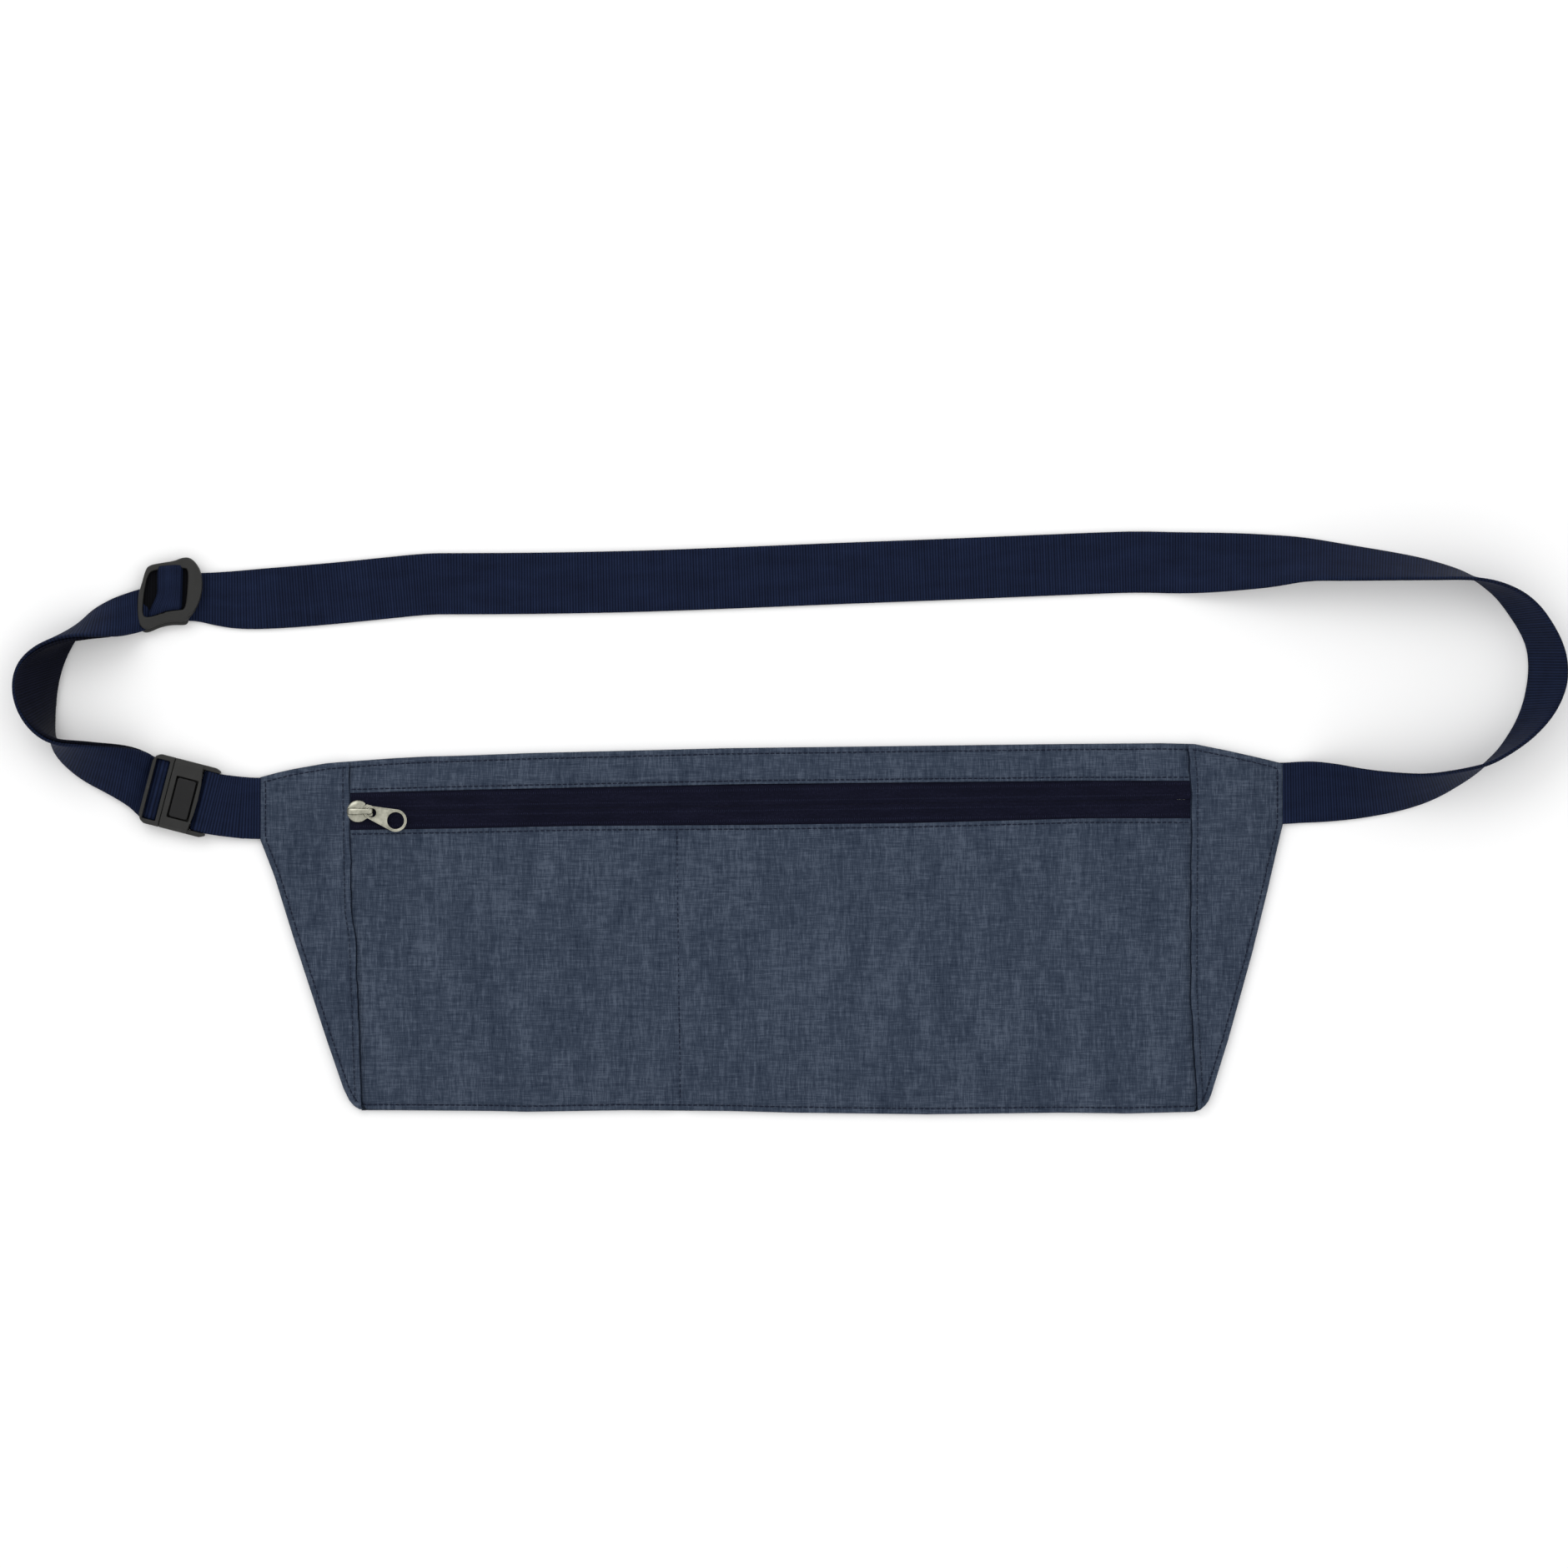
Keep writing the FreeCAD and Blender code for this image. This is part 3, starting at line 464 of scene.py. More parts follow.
def dist_to(line, x, y):
    """Distance from points to a polyline, and length run along it."""
    best = np.full(x.shape, 1e9)
    run = np.zeros(x.shape)
    s = 0.0
    for (x0, y0), (x1, y1) in zip(line[:-1], line[1:]):
        dx, dy = x1 - x0, y1 - y0
        ll = dx * dx + dy * dy
        if ll == 0:
            continue
        t = np.clip(((x - x0) * dx + (y - y0) * dy) / ll, 0, 1)
        d = np.hypot(x - x0 - t * dx, y - y0 - t * dy)
        near = d < best
        best = np.where(near, d, best)
        run = np.where(near, s + t * math.sqrt(ll), run)
        s += math.sqrt(ll)
    return best, run


SIDES = np.vstack([RIGHT, BOTTOM[1:], LEFT[1:]])
OUTLINE = np.vstack([TOP, RIGHT[1:], BOTTOM[1:], LEFT[1:]])


def smooth01(t):
    t = np.clip(t, 0, 1)
    return t * t * (3 - 2 * t)


HEM_Z, TOP_Z = 2.1 * MM, 5.45 * MM
STITCH_IN = 1.9 * MM


def groove(q, width):
    return np.exp(-(q / width) ** 2)


def front_height(x, y, part):
    """Height of the sewn front face; part is lower, strip or wing."""
    d_top, _ = dist_to(TOP, x, y)
    d_side, _ = dist_to(SIDES, x, y)
    d_all, run = dist_to(OUTLINE, x, y)
    rise = np.minimum(d_top / (7.5 * MM), d_side / (15 * MM))
    z = HEM_Z + (TOP_Z - HEM_Z) * smooth01(rise * 0.93 + 0.05)
    # the pocket is nearly empty: it slumps away from the stiff zip
    top_y, bot_y = at_x(TAPE_TOP, x), at_x(TAPE_BOT, x)
    zip_gap = np.maximum(np.maximum(y - top_y, bot_y - y), 0)
    z -= 0.75 * MM * smooth01(zip_gap / (28 * MM)) * smooth01(rise)
    z += 0.30 * MM * fbm(x, y, 38 * MM, 3.1, 2) * smooth01(rise)
    # rounded hem edge
    e = np.clip(d_all / (0.9 * MM), 0, 1)
    z = np.where(d_all < 0.9 * MM,
                 0.35 * MM + (z - 0.35 * MM) * np.sqrt(1 - (1 - e) ** 2), z)
    # hem stitching pulls the cloth down between puckers
    pk = fbm(run, d_all * 0.35, 3.4 * MM, 11.0, 2)
    z -= 0.34 * MM * groove(d_all - STITCH_IN, 0.55 * MM)
    z += 0.16 * MM * pk * groove(d_all - 2.6 * MM, 3.2 * MM) * (
        d_all > 0.9 * MM)
    # wing seams
    for seam, sgn, seed in ((SEAM_L, -1, 21.0), (SEAM_R, 1, 31.0)):
        off = (x - at_y(seam, y)) * sgn        # positive on the wing
        pk = fbm(y, off * 0.3, 4.2 * MM, seed, 2)
        near = np.exp(-(np.abs(off) / (4.5 * MM)) ** 1.5)
        z += 0.20 * MM * pk * near * smooth01(rise + 0.2)
        if part != "wing":
            z -= 0.55 * MM * np.exp(-(np.abs(off) / (2.6 * MM)) ** 1.3)
        if part == "wing":
            z += 0.62 * MM * np.exp(-np.clip(off, 0, 1) / (9 * MM))
            z += 0.16 * MM * groove(off - 0.75 * MM, 0.8 * MM)
            z -= 0.36 * MM * groove(off - 1.9 * MM, 0.55 * MM)
            z += 0.75 * MM * fbm(x, y, 15 * MM, seed + 2, 2) * smooth01(
                rise * 1.2 - 0.1) * smooth01(off / (7 * MM)) * (off < 0.05)
            held = 5.52 * MM - 0.55 * np.maximum(zip_gap - 2 * MM, 0)
            z = np.where((off < 0.05) & (off > -0.002), np.maximum(
                z, held - 0.14 * np.clip(off, 0, 1)), z)
            z = np.where(z > 5.65 * MM, 5.65 * MM + (z - 5.65 * MM) * 0.40, z)
            f = np.clip(off / (0.5 * MM), 0, 1)
            z -= 0.35 * MM * (1 - np.sqrt(1 - (1 - f) ** 2)) * (off < 0.5 * MM)
    if part in ("lower", "strip"):
        lift = smooth01((y - (at_x(TAPE_BOT, x) - 6 * MM)) / (6 * MM))
        edge = (at_x(TAPE_BOT, x) - y) if part == "lower" else (
            y - at_x(TAPE_TOP, x))
        line = 1.35 * MM if part == "lower" else 1.1 * MM
        pk = fbm(x, edge * 0.3, 3.6 * MM, 41.0 if part == "lower" else 47.0, 2)
        z += 0.10 * MM * groove(edge, 0.8 * MM)
        z -= 0.30 * MM * groove(edge - line, 0.5 * MM)
        z += 0.13 * MM * pk * groove(edge - 1.8 * MM, 3.0 * MM)
        f = np.clip(edge / (0.4 * MM), 0, 1)
        z -= 0.40 * MM * (1 - np.sqrt(1 - (1 - f) ** 2)) * (edge < 0.4 * MM)
        z = np.maximum(z, 5.14 * MM - 0.55 * np.maximum(edge - 2 * MM, 0))
    if part == "lower":
        q = x - at_y(DIVIDER, y)
        pk = fbm(y, q * 0.3, 4.0 * MM, 53.0, 2)
        away = smooth01(((at_x(TAPE_BOT, x) - y) - 2 * MM) / (9 * MM))
        z -= away * (0.34 * MM * groove(q, 0.5 * MM)
                     + 0.42 * MM * groove(q, 5 * MM))
        z += away * 0.16 * MM * pk * groove(q, 2.6 * MM)
    return z


def fine_steps(total, start, end, mid):
    """Distances 0..total, fine at chosen ends."""
    fine = [0, .12, .28, .45, .65, .9, 1.15, 1.4, 1.65, 1.9, 2.15, 2.4, 2.75,
            3.2, 3.8, 4.5]
    fine = [f * MM for f in fine]
    a = fine if start else [0.0]
    b = [total - f for f in fine][::-1] if end else [total]
    gap = b[0] - a[-1]
    n = max(2, int(gap / mid))
    inner = [a[-1] + gap * i / n for i in range(1, n)]
    return np.array(a + inner + b) / total


def coons(c0, c1, d0, d1, us, vs):
    """Patch between bottom c0(u), top c1(u), left d0(v), right d1(v)."""
    U, V = np.meshgrid(us, vs, indexing="ij")
    C0, C1 = c0(us)[:, None, :], c1(us)[:, None, :]
    D0, D1 = d0(vs)[None, :, :], d1(vs)[None, :, :]
    U3, V3 = U[..., None], V[..., None]
    p00, p10 = c0(np.array([0.0])), c0(np.array([1.0]))
    p01, p11 = c1(np.array([0.0])), c1(np.array([1.0]))
    return ((1 - V3) * C0 + V3 * C1 + (1 - U3) * D0 + U3 * D1
            - ((1 - U3) * (1 - V3) * p00 + U3 * (1 - V3) * p10
               + (1 - U3) * V3 * p01 + U3 * V3 * p11))


def by_length(line):
    seg = np.hypot(*np.diff(line, axis=0).T)
    s = np.concatenate([[0], np.cumsum(seg)])
    s /= s[-1]
    return lambda t: np.stack([np.interp(t, s, line[:, 0]),
                               np.interp(t, s, line[:, 1])], -1)


def between_x(line, x0, x1):
    """Part of a line that is a function of x, from x0 to x1."""
    order = line[np.argsort(line[:, 0])]
    xs = np.unique(np.concatenate([[x0, x1], order[:, 0]]))
    xs = xs[(xs >= x0) & (xs <= x1)]
    return np.stack([xs, at_x(line, xs)], -1)


def fold_line(line, seed):
    """The folded wing edge wanders a little between its stitches."""
    r = resample(line, 0.9 * MM)
    w = fbm(r[:, 1], r[:, 1] * 0, 9 * MM, seed, 3) * 0.30 * MM
    ends = smooth01(np.minimum(r[:, 1] - r[:, 1].min(),
                               r[:, 1].max() - r[:, 1]) / (6 * MM))
    return np.stack([r[:, 0] + w * ends, r[:, 1]], -1)


def between_y(line, y0, y1, shift=0.0):
    order = line[np.argsort(line[:, 1])]
    ys = np.unique(np.concatenate([[y0, y1], order[:, 1]]))
    ys = ys[(ys >= y0) & (ys <= y1)]
    return np.stack([at_y(line, ys) + shift, ys], -1)


def panel(name, part, bottom, top, left, right, us, vs, mat):
    xy = coons(by_length(bottom), by_length(top), by_length(left),
               by_length(right), us, vs)
    x, y = xy[..., 0], xy[..., 1]
    z = front_height(x, y, part)
    pts = np.stack([x, y, z], -1).reshape(-1, 3)
    ob = make_obj(name, pts, grid_faces(len(us), len(vs), flip=True), mat)
    return ob


STEP = 0.85 * MM
TUCK = 2.2 * MM

# lower panel, tucked under both wings
xl0 = at_y(SEAM_L, -0.0590) - TUCK
xr0 = at_y(SEAM_R, -0.0595) + TUCK
xl1, xr1 = at_y(SEAM_L, 0.0323) - TUCK, at_y(SEAM_R, 0.036) + TUCK
bot_line = between_x(BOTTOM, max(xl0, -0.1318), min(xr0, 0.1378))
top_line = between_x(TAPE_BOT, xl1, xr1)
pl = np.array([[bot_line[0, 0], bot_line[0, 1]]])
left_line = np.vstack([bot_line[:1], between_y(SEAM_L, -0.052, 0.030, -TUCK),
                       top_line[:1]])
right_line = np.vstack([bot_line[-1:],
                        between_y(SEAM_R, -0.052, 0.034, TUCK),
                        top_line[-1:]])
wid, hei = 0.274, 0.0925
lower = panel("front_lower_cloth", "lower", bot_line, top_line, left_line,
              right_line, np.linspace(0, 1, int(wid / STEP)),
              fine_steps(hei, True, True, STEP), M_FRONT)
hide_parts("front_lower_panel")
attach(lower, "pouch")

# strip above the zip
xl1, xr1 = at_y(SEAM_L, 0.0443) - TUCK, at_y(SEAM_R, 0.0483) + TUCK
xl2, xr2 = at_y(SEAM_L, 0.0545) - TUCK, at_y(SEAM_R, 0.060) + TUCK
b_l = between_x(TAPE_TOP, xl1, xr1)
t_l = between_x(TOP, xl2, xr2)
strip = panel("front_top_cloth", "strip", b_l, t_l,
              np.vstack([b_l[:1], t_l[:1]]), np.vstack([b_l[-1:], t_l[-1:]]),
              np.linspace(0, 1, int(wid / STEP)),
              fine_steps(0.0119, True, True, 0.6 * MM), M_FRONT)
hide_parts("front_top_strip")
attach(strip, "pouch")

# left wing: outer side is the pouch's left edge, inner side the fold
t_l = between_x(TOP, -0.16674, at_y(SEAM_L, 0.0546))
out_l = LEFT[::-1]                      # top to bottom
out_l = out_l[::-1]                     # bottom to top
fold = fold_line(between_y(SEAM_L, -0.05915, at_x(
    TOP, at_y(SEAM_L, 0.0546))), 71.0)
b_l = np.array([out_l[0], [fold[0, 0], fold[0, 1]]])
wing_u = fine_steps(0.030, True, True, STEP)
wing_v = fine_steps(0.112, True, True, STEP)
fold_l = fold
lw = panel("left_wing_cloth", "wing", b_l, t_l, out_l, fold, wing_u, wing_v,
           M_WING)
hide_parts("left_wing_panel")
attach(lw, "pouch")

# right wing
t_l = between_x(TOP, at_y(SEAM_R, 0.0603), 0.16674)
out_r = RIGHT[::-1]                     # bottom to top
fold = fold_line(between_y(SEAM_R, -0.0597, at_x(
    TOP, at_y(SEAM_R, 0.0603))), 73.0)
fold[0] = (at_y(SEAM_R, -0.0597), -0.0597)
b_l = np.array([[min(fold[0, 0], out_r[0, 0] - 0.2 * MM), -0.0597], out_r[0]])
fold[0] = b_l[0]
fold_r = fold
rw = panel("right_wing_cloth", "wing", b_l, t_l, fold, out_r, wing_u, wing_v,
           M_WING)
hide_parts("right_wing_panel")
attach(rw, "pouch")


# back of the pouch: one flat panel with the hem turned round its edge
ring = resample(OUTLINE, 1.2 * MM)[:-1]
centre = ring.mean(0)
nxt, prv = np.roll(ring, -1, 0), np.roll(ring, 1, 0)
tan = nxt - prv
tan /= np.hypot(*tan.T)[:, None]
inward = np.stack([tan[:, 1], -tan[:, 0]], -1)
if ((centre - ring) * inward).sum() < 0:
    inward = -inward
back_rows = [(0.0, 0.45), (0.10, 0.2), (0.35, 0.06), (0.9, 0.03),
             (1.6, 0.12), (1.9, 0.24), (2.2, 0.12), (3.0, 0.05), (5.0, 0.04)]
pts = []
for q, z in back_rows:
    p = ring + inward * q * MM
    pk = np.array([noise.noise(Vector((a * 300, b * 300, 3.0)))
                   for a, b in p]) * 0.05
    pts.append(np.column_stack([p, np.full(len(p), z * MM)
                                + np.abs(pk) * MM * (q > 1.0)]))
nb = len(ring)
for f in (0.9, 0.75, 0.5, 0.25, 0.02):
    p = centre + (ring - centre) * f * 0.93
    lift = np.array([noise.noise(Vector((a * 25, b * 25, 9.0)))
                     for a, b in p])
    pts.append(np.column_stack([p, (0.10 + 0.08 * lift) * MM]))
pts = np.vstack(pts + [[[centre[0], centre[1], 0.10 * MM]]])
faces = [tuple(int(k) for k in f)
         for f in grid_faces(len(back_rows) + 5, nb, closed_v=True)]
# close the innermost ring with a fan, wound the same way as the grid
inner, mid = (len(back_rows) + 4) * nb, len(pts) - 1
near = next(f for f in faces if inner in f and inner + 1 in f)
ahead = near[(near.index(inner) + 1) % len(near)] == inner + 1
for k in range(nb):
    p, q = inner + k, inner + (k + 1) % nb
    faces.append((q, p, mid) if ahead else (p, q, mid))
back = make_obj("back_cloth", pts, faces, M_BACK)
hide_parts("back_panel")
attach(back, "pouch")

# inner organiser sheet
ox = np.linspace(-0.126, 0.126, 90)
oy = np.linspace(-0.043, 0.024, 30)
gx, gy = np.meshgrid(ox, oy, indexing="ij")
gz = np.maximum(front_height(gx, gy, "lower") - 1.0 * MM, 0.9 * MM)
org = make_obj("organiser_cloth",
               np.stack([gx, gy, gz], -1).reshape(-1, 3),
               grid_faces(90, 30, flip=True), M_LINING)
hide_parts("organizer_panel")
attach(org, "pouch")

# ---------------------------------------------------------------------------
# stitching: separate little loops of thread lying in their grooves
# ---------------------------------------------------------------------------
_cap = []
for rr, zz in ((0.0, -1.0), (0.75, -0.72), (1.0, -0.2), (1.0, 0.2),
               (0.75, 0.72), (0.0, 1.0)):
    _cap.append((rr, zz))


def stitches(name, pts, mat, pitch=1.8 * MM, length=1.62 * MM,
             width=0.40 * MM, height=0.34 * MM, body="pouch", seed=1,
             turned=False):
    """pts is a line of 3-D points along the seam."""
    rng = np.random.default_rng(seed)
    pts = np.asarray(pts, float)
    seg = np.linalg.norm(np.diff(pts, axis=0), axis=1)
    s = np.concatenate([[0], np.cumsum(seg)])
    n = int(s[-1] / pitch)
    verts, faces = [], []
    for k in range(n):
        c = (k + 0.5) * s[-1] / n
        a = [np.interp(c - length / 2, s, pts[:, i]) for i in range(3)]
        b = [np.interp(c + length / 2, s, pts[:, i]) for i in range(3)]
        a, b = np.array(a), np.array(b)
        m = (a + b) / 2
        d = b - a
        ll = np.linalg.norm(d)
        if ll < 1e-6:
            continue
        d /= ll
        if turned:
            d = np.array([-d[1], d[0], 0.0])
        ang = rng.normal(0, 0.05)
        side = np.array([-d[1], d[0], 0.0])
        d = d * math.cos(ang) + side * math.sin(ang)
        side = np.array([-d[1], d[0], 0.0])
        side /= np.linalg.norm(side)
        up = np.cross(d, side)
        if up[2] < 0:
            up = -up
        base = len(verts)
        for rr, zz in _cap:
            for q in range(6):
                th = q * math.pi / 3
                sink = -0.10 * MM * abs(zz) ** 2
                verts.append(m + d * zz * ll / 2
                             + side * rr * math.cos(th) * width / 2
                             + up * (rr * math.sin(th) * height / 2 + sink))
        faces += grid_faces(len(_cap), 6, base, closed_v=True)
    ob = make_obj(name, verts, faces, mat)
    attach(ob, body)
    return ob


def on_front(xy, part, lift=0.10 * MM):
    xy = np.asarray(xy)
    z = front_height(xy[:, 0], xy[:, 1], part)
    return np.column_stack([xy, z + lift])


def offset_in(line, q):
    """Offset an outline ring inwards."""
    r = resample(line, 0.8 * MM)
    t = np.gradient(r, axis=0)
    t /= np.hypot(*t.T)[:, None]
    nrm = np.stack([t[:, 1], -t[:, 0]], -1)
    if ((centre - r) * nrm).sum() < 0:
        nrm = -nrm
    return r + nrm * q


def part_of(x, y):
    if x < at_y(SEAM_L, y) or x > at_y(SEAM_R, y):
        return "wing"
    return "strip" if y > 0.04 else "lower"


hem_line = offset_in(np.vstack([OUTLINE, OUTLINE[:1]]), STITCH_IN)
keep = [hem_line[0]]
for p in hem_line[1:]:
    if np.hypot(*(p - keep[-1])) > 0.5 * MM and dist_to(
            OUTLINE, np.array([p[0]]), np.array([p[1]]))[0][0] > 1.75 * MM:
        keep.append(p)
hem_line = np.array(keep)
hem_z = []
for p in hem_line:
    hem_z.append(front_height(np.array([p[0]]), np.array([p[1]]),
                              part_of(*p))[0] + 0.12 * MM)
hem_pts = np.column_stack([hem_line, hem_z])
st_hem = stitches("hem_stitches", hem_pts, M_THREAD, seed=2)
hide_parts("thread_outline")
hem_back = np.column_stack([hem_line, np.full(len(hem_line), 0.16 * MM)])
stitches("hem_stitches_back", hem_back, M_THREAD, height=0.2 * MM, seed=3)

xs = np.arange(-0.1368, 0.1366, 0.8 * MM)
up_line = np.column_stack([xs, at_x(TAPE_TOP, xs) + 1.1 * MM])
lo_line = np.column_stack([xs, at_x(TAPE_BOT, xs) - 1.35 * MM])
st_zip = stitches("zip_stitches_upper", on_front(up_line, "strip"), M_THREAD,
                  seed=4)
st_zip2 = stitches("zip_stitches_lower", on_front(lo_line, "lower"), M_THREAD,
                   seed=5)
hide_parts("thread_zip")

ys = np.arange(-0.0565, 0.0525, 0.8 * MM)
wl = np.column_stack([at_y(SEAM_L, ys) - 1.9 * MM, ys])
ys2 = np.arange(-0.0572, 0.0582, 0.8 * MM)
wr = np.column_stack([at_y(SEAM_R, ys2) + 1.9 * MM, ys2])
st_w = stitches("wing_stitches_left", on_front(wl, "wing"), M_WINGTHREAD,
                seed=6)
stitches("wing_stitches_right", on_front(wr, "wing"), M_WINGTHREAD, seed=7)
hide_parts("thread_wings")


def fold_shade_line(name, fold_pts, sgn):
    """Edge of the cloth turned under the fold, coloured darker than the fabric
    as painted shade for the shadow line beside the fold.
    """
    r = resample(fold_pts, 0.8 * MM)
    pts, n = [], 4
    for x, y in r:
        part = "strip" if y > 0.0405 else "lower"
        for q in range(n):
            xx = x + sgn * (-0.35 + 0.25 * q) * MM
            z = front_height(np.array([xx]), np.array([y]), part)[0]
            if 0.0325 < y < 0.0483:
                z = 5.14 * MM
            pts.append((xx, y, z + (0.06, 0.16, 0.12, 0.02)[q] * MM))
    ob = make_obj(name, pts, grid_faces(len(r), n, flip=sgn > 0), M_FOLD_SHADE)
    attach(ob, "pouch")


# dark strips along both fold edges: painted shade
fold_shade_line("fold_shade_strip_left", fold_l[2:-2], 1)
fold_shade_line("fold_shade_strip_right", fold_r[2:-2], -1)
ys = np.arange(-0.0572, 0.0325, 0.8 * MM)
dv = np.column_stack([at_y(DIVIDER, ys), ys])
st_d = stitches("divider_stitches", on_front(dv, "lower"), M_THREAD, seed=8)
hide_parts("thread_divider")

# ---------------------------------------------------------------------------
# zip
# ---------------------------------------------------------------------------
ZA = math.atan2(3.92, 272.8)
ZC, ZS = math.cos(ZA), math.sin(ZA)


def zp(u, v, z):
    """Point from zip coordinates in mm."""
    return ((-136.0 + u * ZC - v * ZS) * MM, (38.28 + u * ZS + v * ZC) * MM,
            z * MM)


STOPS = [((sum(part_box(stop)[k][0] for k in (0, 1)) / 2) / MM + 136.0)
         for stop in ("zip_top_stop", "zip_bottom_stop")]


def tape(name, v0, v1, node):
    us = np.arange(-8.0, 281.01, 0.6)
    w = np.linspace(0, 1, 14)
    pts = []
    for u in us:
        for t in w:
            v = v0 + (v1 - v0) * t
            wob = noise.noise(Vector((u * 0.06, v * 0.2, 5.0))) * 0.10
            q = abs(v)
            bulge = 0.10 * math.exp(-((q - 1.0) / 1.0) ** 2)
            dip = -0.16 * math.exp(-(q / 0.22) ** 2)
            hidden = -0.42 * max(0.0, q - 6.15)
            over = sum(0.34 * math.exp(-((u - su) / 1.6) ** 4
                                       - (v / 3.2) ** 4) for su in STOPS)
            dip *= max(0.0, 1 - over / 0.2)
            pts.append(zp(u, v, 4.95 + bulge + dip + wob + hidden + over))
    ob = make_obj(name, pts, grid_faces(len(us), len(w), flip=v1 > v0), M_TAPE)
    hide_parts(node)
    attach(ob, "pouch")
    return ob


tape("zip_tape_upper_cloth", 0.04, 8.2, "zip_tape_upper")
tape("zip_tape_lower_cloth", -0.04, -12.3, "zip_tape_lower")


def tape_row(name, v, length, width, seed, pitch=0.66, lift=5.03):
    pts = [zp(u, v, lift) for u in np.arange(-2.5, 275.5, 0.8)]
    return stitches(name, pts, M_TAPETHREAD, pitch=pitch * MM,
                    length=length * MM, width=width * MM, height=0.12 * MM,
                    seed=seed, turned=True)


tape_row("coil_seam_upper", 1.55, 0.75, 0.26, 9)
tape_row("coil_seam_lower", -1.55, 0.75, 0.26, 10)
tape_row("tape_edge_upper", 5.15, 1.0, 0.22, 11, 0.74, 5.0)
tape_row("tape_edge_lower", -4.85, 1.0, 0.22, 12, 0.74, 5.0)
for node in ("zip_coil_upper", "zip_coil_lower"):
    nodes[node].data.materials.clear()
    nodes[node].data.materials.append(M_COIL)

# ---------------------------------------------------------------------------
# webbing
# ---------------------------------------------------------------------------
PITCH = 0.92 * MM
T = 1.2 * MM


def nurbs_line(points, resolution=16):
    """Points read from one smooth NURBS line through its control points."""
    cu = bpy.data.curves.new("route", "CURVE")
    cu.dimensions = "3D"
    cu.resolution_u = resolution
    sp = cu.splines.new("NURBS")
    sp.points.add(len(points) - 1)
    for q, p in zip(sp.points, points):
        q.co = (*p, 1.0)
    sp.order_u = 3
    sp.use_endpoint_u = True
    ob = bpy.data.objects.new("route", cu)
    scene.collection.objects.link(ob)
    me = bpy.data.meshes.new_from_object(ob)
    out = np.array([v.co[:] for v in me.vertices])
    bpy.data.objects.remove(ob)
    bpy.data.curves.remove(cu)
    bpy.data.meshes.remove(me)
    return out


def ribbon_frames(rest_edge, raised_edge, widths=None):
    """Rows along a ribbon between two edge lines."""
    A, B = nurbs_line(rest_edge), nurbs_line(raised_edge)
    if widths is None:
        widths = [10.0] * len(rest_edge)
    W = nurbs_line([(i * 0.01, 0, w * MM) for i, w in enumerate(widths)])
    mid = (A + B) / 2
    seg = np.linalg.norm(np.diff(mid, axis=0), axis=1)
    s = np.concatenate([[0], np.cumsum(seg)])
    step = PITCH / 4 * 1
    n = int(s[-1] / step)
    t = np.linspace(0, s[-1], n)
    f = lambda arr: np.stack([np.interp(t, s, arr[:, i]) for i in range(3)], 1)
    a, b = f(A), f(B)
    m = (a + b) / 2
    c = b - a
    c /= np.linalg.norm(c, axis=1)[:, None]
    tg = np.gradient(m, axis=0)
    tg /= np.linalg.norm(tg, axis=1)[:, None]
    out = np.cross(tg, c)
    out /= np.linalg.norm(out, axis=1)[:, None]
    return {"m": m, "c": c, "out": out, "t": t,
            "w": np.interp(t, s, W[:, 2])}


def ribbon_object(name, fr, mat, i0=0, i1=None, thick=T, offset=0.0,
                  view_fix=True, s0=0.0):
    sl = slice(i0, i1)
    m, c, out = fr["m"][sl], fr["c"][sl], fr["out"][sl]
    t, hw = fr["t"][sl] + s0, fr["w"][sl]
    m = m + out * offset
    n = len(m)
    rib = np.abs(np.sin(np.pi * t / PITCH)) ** 0.8
    ws = [-1, -0.985, -0.95, -0.8, -0.45, 0, 0.45, 0.8, 0.95, 0.985, 1]
    prof = [(w, 1) for w in ws] + [(w, 0) for w in ws[::-1]]
    verts = np.zeros((n, len(prof), 3))
    uv = np.zeros((n, len(prof), 2))
    pinch = 10 * MM - hw
    for j, (w, side) in enumerate(prof):
        round_ = math.sqrt(max(0.0, 1 - ((abs(w) - 0.95) / 0.05) ** 2)) if abs(
            w) > 0.95 else 1.0
        amp = (0.075 if abs(w) < 0.97 else 0.02) * MM
        if side:
            h = thick * (0.5 + 0.5 * round_) + amp * (rib - 1)
        else:
            h = thick * (0.5 - 0.5 * round_) - amp * (rib - 1)
        # webbing that is squeezed narrower rises in one soft lengthways fold
        h = h + pinch * 0.35 * math.exp(-((w - 0.25) / 0.35) ** 2)
        verts[:, j, :] = m + c * (w * hw)[:, None] + out * h[:, None]
        uv[:, j, 0] = t
        uv[:, j, 1] = w * 10 * MM + (0.05 if side else 0.15)
    verts = verts.reshape(-1, 3)
    if view_fix:
        # heights shift outwards in a near lens; keep outlines where they are
        cx, cy = CAM[0], CAM[1]
        k = 1 - np.clip(verts[:, 2], 0, 1) / CAM[2]
        verts[:, 0] = cx + (verts[:, 0] - cx) * k
        verts[:, 1] = cy + (verts[:, 1] - cy) * k
    verts[:, 2] = np.maximum(verts[:, 2], 0.05 * MM)
    np_ = len(prof)
    faces = grid_faces(n, np_, closed_v=True, flip=True)
    faces.append(tuple(range(np_)))
    faces.append(tuple(range((n - 1) * np_, n * np_))[::-1])
    ob = make_obj(name, verts, faces, mat, uvs=uv.reshape(-1, 2))
    bm = bmesh.new()
    bm.from_mesh(ob.data)
    bmesh.ops.recalc_face_normals(bm, faces=bm.faces)
    bm.to_mesh(ob.data)
    bm.free()
    return ob


